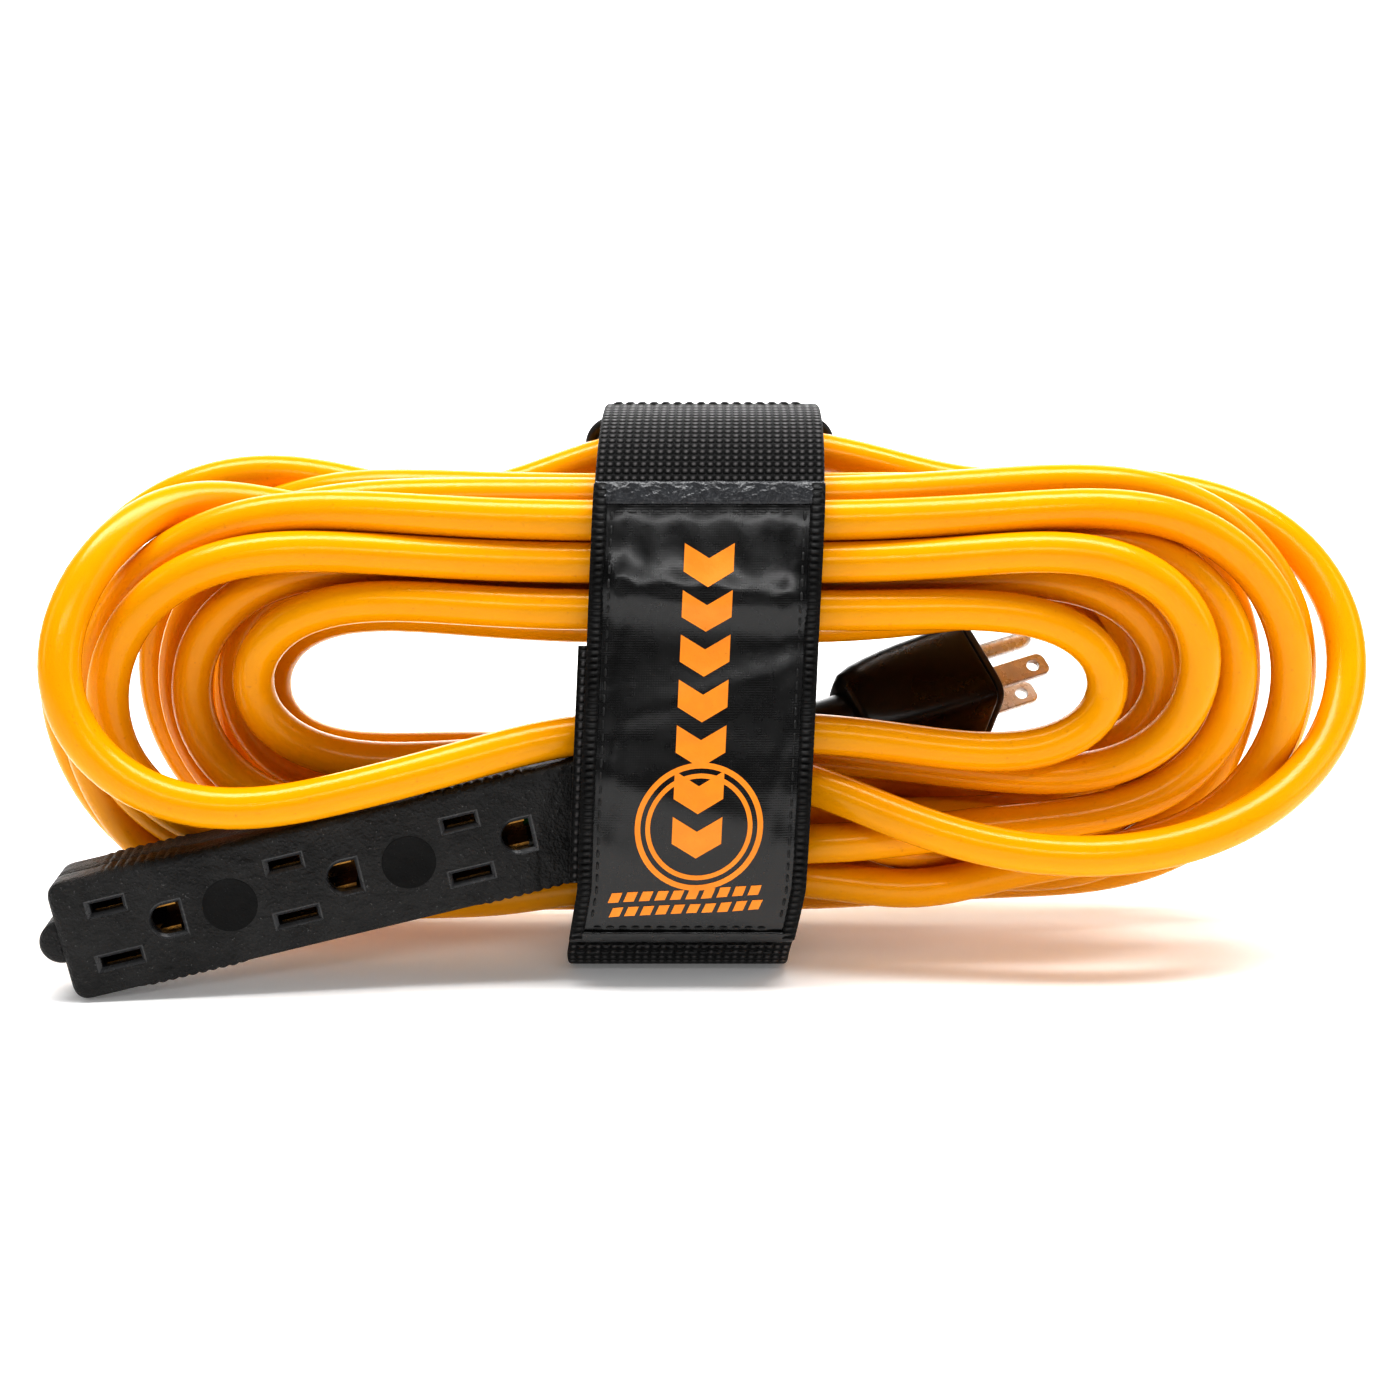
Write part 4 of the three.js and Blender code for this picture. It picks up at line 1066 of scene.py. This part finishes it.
def woven(name, crown_highlight_colour, hollow_shade_colour, across, along, depth, roughness, sheen):
    """A fabric with the weave at its own pitches in mm, duller in its hollows, with painted highlight on
    its crowns and painted shade in its hollows.
    """
    material, tree, principled = finish_of(
        name, Roughness=roughness, Sheen_Weight=sheen, Sheen_Roughness=0.4, Specular_IOR_Level=0.3)
    cloth = placed_group(tree, weave, Crown_Color=crown_highlight_colour, Hollow_Color=hollow_shade_colour,
                         Across=across, Along=along, Depth=depth)
    join(tree, cloth.outputs["Color"], principled.inputs["Base Color"])
    join(tree, cloth.outputs["Normal"], principled.inputs["Normal"])
    gloss_range = put(tree, "ShaderNodeMapRange", To_Min=roughness + 0.2, To_Max=roughness)
    join(tree, cloth.outputs["Crown"], gloss_range.inputs["Value"])
    join(tree, gloss_range.outputs["Result"], principled.inputs["Roughness"])
    return material


# Crown colour 0.085 is painted highlight on the yarn tops, hollow colour 0.001 painted shade.
webbing_yarn = woven("webbing_yarn", (0.085, 0.08, 0.08, 1), (0.001, 0.001, 0.001, 1),
                     1.9, 2.0, 0.9, 0.36, 0.0)
strap = measured(strap_line)
strap_length = strap[2]
webbing = band_mesh("strap_web", strap, 1.5, strap_length, -STRAP_HALF, STRAP_HALF,
                    -WEBBING / 2, WEBBING / 2, edge=1.0)
webbing.data.materials.append(webbing_yarn)
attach(webbing, "cord_set")

# The sewn eye: the webbing turns round the ring's bar and is stitched to itself.
EYE_RADIUS = 3.2
eye_line = [(RING_BAR[0] + EYE_RADIUS * math.cos(a), RING_BAR[1] + EYE_RADIUS * math.sin(a))
            for a in np.linspace(math.radians(90), math.radians(-150), 16)]
eye_line += [(26, 127), (21, 128.2), (14, 128.6)]
eye = measured(np.array(eye_line))
strap_eye = band_mesh("strap_eye", eye, 0, eye[2], -STRAP_HALF, STRAP_HALF, -0.95, 0.95,
                      step=0.8, edge=0.9)
strap_eye.data.materials.append(webbing_yarn)
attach(strap_eye, "cord_set")
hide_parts("strap_webbing")

# A spare layer of the webbing shows beside the label, low on its left edge.
inner_layer = band_mesh("strap_inner_layer", strap, 96, 150, -STRAP_HALF - 2.0, -STRAP_HALF + 4,
                        0.6, 1.7, step=1.0, across=1.2, edge=0.4)
inner_layer.data.materials.append(webbing_yarn)
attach(inner_layer, "cord_set")

# ---------------------------------------------------------------------------
# Label: a panel of glossy coated black cloth sewn over the front of the strap,
# bound down both sides, with a crinkled tape across its top. Its orange print is
# a column of chevrons, a double ring and two rows of dashes.
# ---------------------------------------------------------------------------
LABEL_HALF, LABEL_OUT, INK_RISE = 25.5, 2.2, 0.09
label_start, label_end = 0.185 * strap_length, 0.505 * strap_length


def creases(x, s):
    """Soft dents and pulled folds of the coated panel."""
    t = (s - label_start) / (label_end - label_start)
    folds = (1.5 * np.exp(-((t - 0.235 - 0.0008 * x) / 0.05) ** 2)
             - 0.35 * np.exp(-((t - 0.36 + 0.0015 * x) / 0.06) ** 2)
             + 0.25 * np.exp(-((t - 0.45 + 0.003 * x) / 0.03) ** 2)
             - 0.30 * np.exp(-((t - 0.56 - 0.002 * x) / 0.05) ** 2)
             + 0.55 * np.exp(-((t - 0.70 - 0.0035 * x) / 0.05) ** 2)
             - 0.25 * np.exp(-((t - 0.80 + 0.003 * x) / 0.045) ** 2)
             + 0.35 * np.exp(-((t - 0.88 - 0.005 * x) / 0.03) ** 2))
    side = 0.30 * np.exp(-((abs(x) - 18.5) / 2.4) ** 2) * (0.6 + 0.4 * np.sin(s / 3.1 + x))
    pulls = 0.22 * np.sin(x / 1.7 + 2 * np.sin(s / 9)) * np.exp(-((t - 0.14) / 0.07) ** 2)
    ripple = 0.10 * np.sin(s / 2.3 + 3 * np.sin(x / 9)) * np.exp(-((abs(x) - 22) / 3) ** 2)
    wide = 0.4 * np.cos(x / LABEL_HALF * 1.45) - 0.1
    ends = np.clip(np.minimum(t, 1 - t) / 0.08, 0, 1)
    sides = np.clip((LABEL_HALF - abs(x)) / 5, 0, 1)
    return np.clip((folds * sides + side + pulls + wide) * ends + ripple, -0.2, 1.6)


label = band_mesh("strap_label_panel", strap, label_start, label_end, -LABEL_HALF, LABEL_HALF,
                  1.35, LABEL_OUT, step=0.7, across=0.8, edge=0.4, rise=creases)
coated_cloth, coated_tree, coated_shader = finish_of(
    "coated_cloth", Specular_IOR_Level=0.45, Coat_Weight=0.35, Coat_Roughness=0.18)
skin_marks = placed_group(
    coated_tree, marks, Color=(0.004, 0.004, 0.004, 1), Dark_Color=(0.009, 0.009, 0.0095, 1),
    Cloud_Scale=90, Cloud_Amount=0.6, Speck_Scale=1900, Speck_Color=(0.1, 0.1, 0.1, 1),
    Speck_Amount=0.25, Roughness_Low=0.2, Roughness_High=0.34)
skin_weave = placed_group(coated_tree, weave, Across=0.55, Along=0.55, Depth=0.035)
skin_wave = placed_group(coated_tree, grain, Fine_Scale=1500, Fine_Height=0.04,
                         Wave_Scale=130, Wave_Height=0.5)
mixed_normal = put(coated_tree, "ShaderNodeMix", data_type="VECTOR")
mixed_normal.inputs["Factor"].default_value = 0.5
join(coated_tree, skin_weave.outputs["Normal"], mixed_normal.inputs["A"])
join(coated_tree, skin_wave.outputs["Normal"], mixed_normal.inputs["B"])
join(coated_tree, skin_marks.outputs["Color"], coated_shader.inputs["Base Color"])
join(coated_tree, skin_marks.outputs["Roughness"], coated_shader.inputs["Roughness"])
join(coated_tree, mixed_normal.outputs["Result"], coated_shader.inputs["Normal"])
label.data.materials.append(coated_cloth)
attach(label, "cord_set")
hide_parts("strap_label")

# Crown colour 0.03 is painted highlight on the binding's ribs, hollow colour 0.001 painted shade.
binding_yarn = woven("binding_yarn", (0.03, 0.03, 0.03, 1), (0.001, 0.001, 0.001, 1),
                     3.0, 1.5, 0.6, 0.4, 0.05)


def ribbed(x, s):
    """Cross ribs of the woven binding."""
    return 0.16 * np.cos(2 * math.pi * s / 1.6)


for side, node in ((-1, "label_left_binding"), (1, "label_right_binding")):
    x0, x1 = sorted((side * (LABEL_HALF - 2.7), side * (LABEL_HALF + 0.55)))
    binding = band_mesh("binding_left" if side < 0 else "binding_right", strap, label_start,
                        label_end, x0, x1, 1.6, 3.2, step=0.4, across=0.8, edge=0.7, rise=ribbed)
    binding.data.materials.append(binding_yarn)
    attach(binding, "cord_set")
    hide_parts(node)

tape_film = dressed(
    "tape_film",
    dict(Color=(0.05, 0.052, 0.056, 1), Dark_Color=(0.016, 0.016, 0.018, 1), Cloud_Scale=420,
         Cloud_Amount=0.9, Speck_Scale=1500, Speck_Color=(0.3, 0.3, 0.3, 1), Speck_Amount=0.4,
         Roughness_Low=0.18, Roughness_High=0.32),
    dict(Fine_Scale=1400, Fine_Height=0.15, Wave_Scale=420, Wave_Height=0.5),
    Specular_IOR_Level=0.4)


def crinkle(x, s):
    """Small creases of the thin shiny tape."""
    return 0.12 * np.sin(x * 1.1 + 2 * np.sin(s)) * np.sin(s * 1.7 + x / 5)


for name, start, end, node in (
        ("label_head_tape", label_start - 0.4, label_start + 4.6, "label_top_tape"),
        ("label_foot_tape", label_end - 2.6, label_end + 0.4, "label_bottom_tape")):
    tape = band_mesh(name, strap, start, end, -LABEL_HALF - 0.2, LABEL_HALF + 0.2, 2.0, 3.1,
                     step=0.4, across=0.7, edge=0.4, rise=crinkle)
    tape.data.materials.append(tape_film if name == "label_head_tape" else coated_cloth)
    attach(tape, "cord_set")
    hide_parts(node)


def on_label(x, s):
    """How far the label's creased face stands out from the strap's middle."""
    return LABEL_OUT + creases(x, s)


def label_print(patches):
    """Ink laid on the label: each patch is four corners (x, s), split to follow the cloth."""
    verts, faces = [], []
    for corners in patches:
        (ax, asx), (bx, bs), (cx, cs), (dx, ds) = corners
        long = max(math.hypot(dx - ax, ds - asx), math.hypot(cx - bx, cs - bs))
        wide = max(math.hypot(bx - ax, bs - asx), math.hypot(cx - dx, cs - ds))
        n, m = max(1, int(long / 0.8)), max(1, int(wide / 0.9))
        base = len(verts)
        for i in range(n + 1):
            for j in range(m + 1):
                p, q = i / n, j / m
                x = (1 - p) * ((1 - q) * ax + q * bx) + p * ((1 - q) * dx + q * cx)
                s = (1 - p) * ((1 - q) * asx + q * bs) + p * ((1 - q) * ds + q * cs)
                verts.append((x, s))
        faces += [(base + i * (m + 1) + j, base + i * (m + 1) + j + 1,
                   base + (i + 1) * (m + 1) + j + 1, base + (i + 1) * (m + 1) + j)
                  for i in range(n) for j in range(m)]
    verts = np.array(verts)
    x, s = verts.T
    return band_point(strap, s, x, on_label(x, s) + INK_RISE), faces


def chevron(x0, x1, s, tall, drop):
    """A downward arrowhead bar between x0 and x1."""
    mid = (x0 + x1) / 2
    return [[(x0, s), (mid, s + drop), (mid, s + drop + tall), (x0, s + tall)],
            [(mid, s + drop), (x1, s), (x1, s + tall), (mid, s + drop + tall)]]


CHEVRON_PITCH, CHEVRON_TALL, CHEVRON_DROP = 10.2, 6.2, 3.4
PRINT_RING_SIDES = 64
ink = []
print_top = label_start + 10.5
for row in range(7):
    ink += chevron(-5, 6.2, print_top + 2.3 + row * CHEVRON_PITCH, CHEVRON_TALL, CHEVRON_DROP)
ring_middle = print_top + 66
for radius, wide in ((13.2, 1.3), (11.0, 1.1)):
    for k in range(PRINT_RING_SIDES):
        a, b = 2 * math.pi * k / PRINT_RING_SIDES, 2 * math.pi * (k + 1) / PRINT_RING_SIDES
        ink.append([(1 + (radius + w) * math.cos(t), ring_middle + (radius + w) * math.sin(t))
                    for t, w in ((a, 0), (b, 0), (b, wide), (a, wide))])
for row in range(2):
    for k in range(10):
        x = -18 + 3.5 * k + 0.8 * row
        s = label_end - 12.2 + 3.6 * row - 0.06 * (x + 20)
        ink.append([(x, s), (x + 2.4, s - 0.15), (x + 1.8, s + 2.2), (x - 0.6, s + 2.35)])
print_verts, print_faces = label_print(ink)
orange_print = mesh_object("label_print", print_verts, print_faces)
print_ink = dressed(
    "print_ink",
    dict(Color=(0.95, 0.31, 0.018, 1), Dark_Color=(0.72, 0.22, 0.012, 1), Cloud_Scale=180,
         Cloud_Amount=0.4, Speck_Scale=2200, Speck_Color=(0.25, 0.08, 0.01, 1), Speck_Amount=0.35,
         Roughness_Low=0.35, Roughness_High=0.5),
    dict(Fine_Scale=1500, Fine_Height=0.05, Wave_Scale=130, Wave_Height=0.4))
orange_print.data.materials.append(print_ink)
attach(orange_print, "cord_set")

# ---------------------------------------------------------------------------
# Stitching: black polyester thread, lockstitched along the label's sides and
# hems, across the fold at the foot and through the eye at the ring.
# ---------------------------------------------------------------------------
thread_black = dressed(
    "thread_black",
    dict(Color=(0.012, 0.012, 0.012, 1), Dark_Color=(0.03, 0.03, 0.03, 1), Cloud_Scale=900,
         Cloud_Amount=0.5, Speck_Scale=3000, Speck_Color=(0.09, 0.09, 0.09, 1), Speck_Amount=0.4,
         Roughness_Low=0.4, Roughness_High=0.6),
    dict(Fine_Scale=4000, Fine_Height=0.1, Wave_Scale=1800, Wave_Height=0.12))


def stitch(line, start, end, out, radius=0.32):
    """One stitch between two (x, s) points: a thread that rises and goes back in."""
    t = np.linspace(0, 1, 6)
    x = start[0] + (end[0] - start[0]) * t
    s = start[1] + (end[1] - start[1]) * t
    level = out(x, s) if callable(out) else out
    spine = band_point(line, s, x, level + 0.3 * np.sin(math.pi * t) - 0.18)
    along = spine[-1] - spine[0]
    along /= np.linalg.norm(along)
    side = np.cross(along, (0.3, 0.5, 0.81))
    side /= np.linalg.norm(side)
    over = np.cross(along, side)
    loops = []
    for k, point in enumerate(spine):
        r = radius * MM * (0.45 if k in (0, 5) else 1)
        loops.append(np.array([point + r * (math.cos(a) * side + math.sin(a) * over)
                               for a in np.linspace(0, 2 * math.pi, 6, endpoint=False)]))
    return lofted(loops)


def seam(name, line, runs, out, pitch=2.9, length=2.1):
    """Rows of stitches; each run is two (x, s) ends."""
    verts, faces, count = [], [], 0
    for (xa, sa), (xb, sb) in runs:
        whole = math.hypot(xb - xa, sb - sa)
        for k in range(int(whole / pitch)):
            a, b = k * pitch / whole, (k * pitch + length) / whole
            points, skins = stitch(line, (xa + (xb - xa) * a, sa + (sb - sa) * a),
                                   (xa + (xb - xa) * b, sa + (sb - sa) * b), out)
            verts.append(points)
            faces += [tuple(i + count for i in face) for face in skins]
            count += len(points)
    piece = mesh_object(name, np.vstack(verts), faces)
    piece.data.materials.append(thread_black)
    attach(piece, "cord_set")
    return piece


label_seams = seam(
    "label_seams", strap,
    [((side * 21.6, label_start + 6), (side * 21.6, label_end - 5)) for side in (-1, 1)]
    + [((-21, label_start + 6.2), (21, label_start + 6.2)),
       ((-21, label_end - 3.6), (21, label_end - 3.6))], on_label)
seam("foot_seams", strap, [((-24, label_end + s), (24, label_end + s)) for s in (3, 5.5)], 1.05)
seam("eye_seams", strap, [((-24, s), (24, s)) for s in (7, 10, 16, 19)], 1.05)

# ---------------------------------------------------------------------------
# Hook-and-loop: a strip of brushed loop pile sewn to the back of the strap, and
# moulded hooks on the inside of the tail that presses onto it.
# ---------------------------------------------------------------------------
pile_black = dressed(
    "pile_black",
    dict(Color=(0.012, 0.012, 0.012, 1), Dark_Color=(0.03, 0.03, 0.031, 1), Cloud_Scale=700,
         Cloud_Amount=0.9, Speck_Scale=3000, Speck_Color=(0.08, 0.08, 0.08, 1), Speck_Amount=0.4,
         Roughness_Low=0.8, Roughness_High=1.0),
    dict(Fine_Scale=3200, Fine_Height=0.8, Wave_Scale=900, Wave_Height=0.8), Sheen_Weight=0.4)

fuzz_random = np.random.default_rng(7)
fuzz_phase = fuzz_random.uniform(0, 6.28, 8)


def pile(x, s):
    """Matted loops of the brushed side."""
    return sum(0.06 * np.sin((1.3 + 0.37 * k) * x + (1.9 - 0.21 * k) * s + fuzz_phase[k])
               for k in range(8))


loop_start, loop_end = 0.8 * strap_length, 0.965 * strap_length
loop_pile = band_mesh("loop_pile", strap, loop_start, loop_end, -STRAP_HALF + 2, STRAP_HALF - 2,
                      1.15, 2.1, step=0.7, across=0.7, edge=0.5, rise=pile)
loop_pile.data.materials.append(pile_black)
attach(loop_pile, "cord_set")
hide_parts("strap_loop_tape")

# Stray loops that stand out of the pile along its edges and over its face.
STRAY_COUNT = 420
stray_verts, stray_faces = [], []
for k in range(STRAY_COUNT):
    edge = k % 3
    x = (fuzz_random.uniform(-23, 23) if edge == 2
         else (edge * 2 - 1) * (STRAP_HALF - 2.2 + fuzz_random.uniform(-0.5, 0.3)))
    s = fuzz_random.uniform(loop_start + 1, loop_end - 1)
    reach, turn = fuzz_random.uniform(0.4, 1.1), fuzz_random.uniform(0, math.pi)
    arch = np.linspace(0, math.pi, 7)
    xs = x + 0.5 * reach * np.cos(arch) * math.cos(turn)
    ss = s + 0.5 * reach * np.cos(arch) * math.sin(turn)
    spine = band_point(strap, ss, xs, 2.0 + 0.6 * reach * np.sin(arch))
    fibre_section = np.array([(0.04, 0, 0), (-0.02, 0.02, 0.03), (-0.02, -0.02, -0.03)]) * MM
    points, skins = lofted([p + fibre_section for p in spine])
    stray_verts.append(points)
    stray_faces += [tuple(i + len(points) * k for i in face) for face in skins]
stray_loops = mesh_object("stray_loops", np.vstack(stray_verts), stray_faces)
stray_loops.data.materials.append(pile_black)
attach(stray_loops, "cord_set")

# ---------------------------------------------------------------------------
# Ring: 3.2 mm steel wire bent to a flat loop with round corners, black enamel.
# The webbing is sewn round its upper bar and the tail turns over its lower one.
# ---------------------------------------------------------------------------
RING_HALF, RING_BEND, RING_SIDES = 30, 6, 16
ring_drop = math.hypot(RING_LOW_BAR[0] - RING_BAR[0], RING_LOW_BAR[1] - RING_BAR[1])
bend_x, bend_low = RING_HALF - RING_BEND, ring_drop - RING_BEND
ring_plan = []
for centre_x, centre_drop, first in ((bend_x, RING_BEND, 0), (-bend_x, RING_BEND, 90),
                                     (-bend_x, bend_low, 180), (bend_x, bend_low, 270)):
    for a in np.radians(np.linspace(first, first + 90, 11)):
        ring_plan.append((centre_x + RING_BEND * math.cos(a),
                          centre_drop - RING_BEND * math.sin(a)))
ring_plan = np.array(ring_plan)
share = ring_plan[:, 1:] / ring_drop
ring_centre = np.c_[ring_plan[:, 0],
                    np.array(RING_BAR) * (1 - share) + np.array(RING_LOW_BAR) * share]
ring_centre[:, 0] += LEAN * (ring_centre[:, 2] - LEAN_LEVEL)
ring_next, ring_before = np.roll(ring_centre, -1, 0), np.roll(ring_centre, 1, 0)
ring_along = ring_next - ring_before
ring_along /= np.linalg.norm(ring_along, axis=1)[:, None]
flat = np.cross((1, 0, 0), (0, RING_LOW_BAR[0] - RING_BAR[0], RING_LOW_BAR[1] - RING_BAR[1]))
flat = flat / np.linalg.norm(flat)
ring_side = np.cross(ring_along, flat)
ring_loops = [centre + RING_WIRE / 2 * (math.cos(a) * side + math.sin(a) * flat)
              for centre, side in zip(ring_centre, ring_side)
              for a in np.linspace(0, 2 * math.pi, RING_SIDES, endpoint=False)]
ring_faces = []
for k in range(len(ring_centre)):
    a, b = RING_SIDES * k, RING_SIDES * ((k + 1) % len(ring_centre))
    ring_faces += [(a + i, a + (i + 1) % RING_SIDES, b + (i + 1) % RING_SIDES, b + i)
                   for i in range(RING_SIDES)]
wire_ring = mesh_object("wire_ring", np.array(ring_loops) * MM, ring_faces)
face_out(wire_ring)
ring_enamel = dressed(
    "ring_enamel",
    dict(Color=(0.008, 0.008, 0.008, 1), Dark_Color=(0.02, 0.02, 0.02, 1), Cloud_Scale=300,
         Cloud_Amount=0.5, Speck_Scale=1500, Speck_Color=(0.2, 0.2, 0.2, 1), Speck_Amount=0.3,
         Roughness_Low=0.2, Roughness_High=0.4),
    dict(Fine_Scale=2200, Fine_Height=0.05, Wave_Scale=500, Wave_Height=0.12))
wire_ring.data.materials.append(ring_enamel)
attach(wire_ring, "ring")
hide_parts("strap_ring")

# ---------------------------------------------------------------------------
# Tail: the strap's free end. It comes up the back, goes through the ring, turns
# over the lower bar and lies on the pile, with its hook tape inside.
# ---------------------------------------------------------------------------
TAIL_Y = RING_LOW_BAR[0] + RING_WIRE / 2 + 1.3
turn_radius = RING_WIRE / 2 + 1.25
turn_line = [(33.6, 97), (33.7, 103), (RING_LOW_BAR[0] - turn_radius, 109)]
turn_line += [(RING_LOW_BAR[0] - turn_radius * math.cos(a),
               RING_LOW_BAR[1] + turn_radius * math.sin(a)) for a in np.linspace(0, math.pi, 9)]
turn = measured(np.array(turn_line))
strap_turn = band_mesh("strap_turn", turn, 6.2, turn[2], -STRAP_HALF + 1, STRAP_HALF - 1,
                       -0.95, 0.95, step=0.7, edge=0.9)
strap_turn.data.materials.append(webbing_yarn)
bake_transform(strap_turn)

tail_line = np.array([(TAIL_Y + 0.05, 114), (TAIL_Y + 0.15, 108), (TAIL_Y + 0.25, 88),
                      (TAIL_Y, 62), (TAIL_Y - 0.1, 38)])
tail = measured(tail_line)
tail_web = band_mesh("tail_web", tail, 0, tail[2], -STRAP_HALF + 1, STRAP_HALF - 1,
                     -0.95, 0.95, step=1.0, edge=1.0)
tail_web.data.materials.append(webbing_yarn)
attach(tail_web, "tail")
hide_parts("strap_tail")

hook_start, hook_end = 0.3 * tail[2], 0.97 * tail[2]
hook_moulded = dressed(
    "hook_moulded",
    dict(Color=(0.014, 0.014, 0.014, 1), Dark_Color=(0.03, 0.03, 0.03, 1), Cloud_Scale=500,
         Cloud_Amount=0.6, Speck_Scale=2500, Speck_Color=(0.1, 0.1, 0.1, 1), Speck_Amount=0.4,
         Roughness_Low=0.35, Roughness_High=0.55),
    dict(Fine_Scale=3000, Fine_Height=0.15, Wave_Scale=700, Wave_Height=0.2))
hook_tape = band_mesh("hook_tape", tail, hook_start, hook_end, -STRAP_HALF + 3, STRAP_HALF - 3,
                      1.0, 1.45, step=1.5, edge=0.3)
HOOK_PITCH = 1.5
hook_verts, hook_faces = [], []
hook_rows = [(x, s) for s in np.arange(hook_start + 1, hook_end - 1, HOOK_PITCH)
             for x in np.arange(-STRAP_HALF + 3.8, STRAP_HALF - 3.6, HOOK_PITCH)]
for k, (x, s) in enumerate(hook_rows):
    bendy = np.array([(0, 0), (0, 0.35), (0.12, 0.5), (0.34, 0.42)])
    spine = band_point(tail, s + bendy[:, 0], x + np.zeros(4), 1.4 + bendy[:, 1])
    hook_section = np.array([(0.16, 0, 0.05), (-0.16, 0, 0.05), (-0.16, 0, -0.05),
                             (0.16, 0, -0.05)]) * MM
    points, skins = lofted([p + hook_section for p in spine])
    hook_verts.append(points)
    hook_faces += [tuple(i + len(points) * k for i in face) for face in skins]
hooks = mesh_object("hook_field", np.vstack(hook_verts), hook_faces, smooth=False)
for piece in (hook_tape, hooks):
    piece.data.materials.append(hook_moulded)
    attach(piece, "tail")
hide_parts("strap_hook_tape")
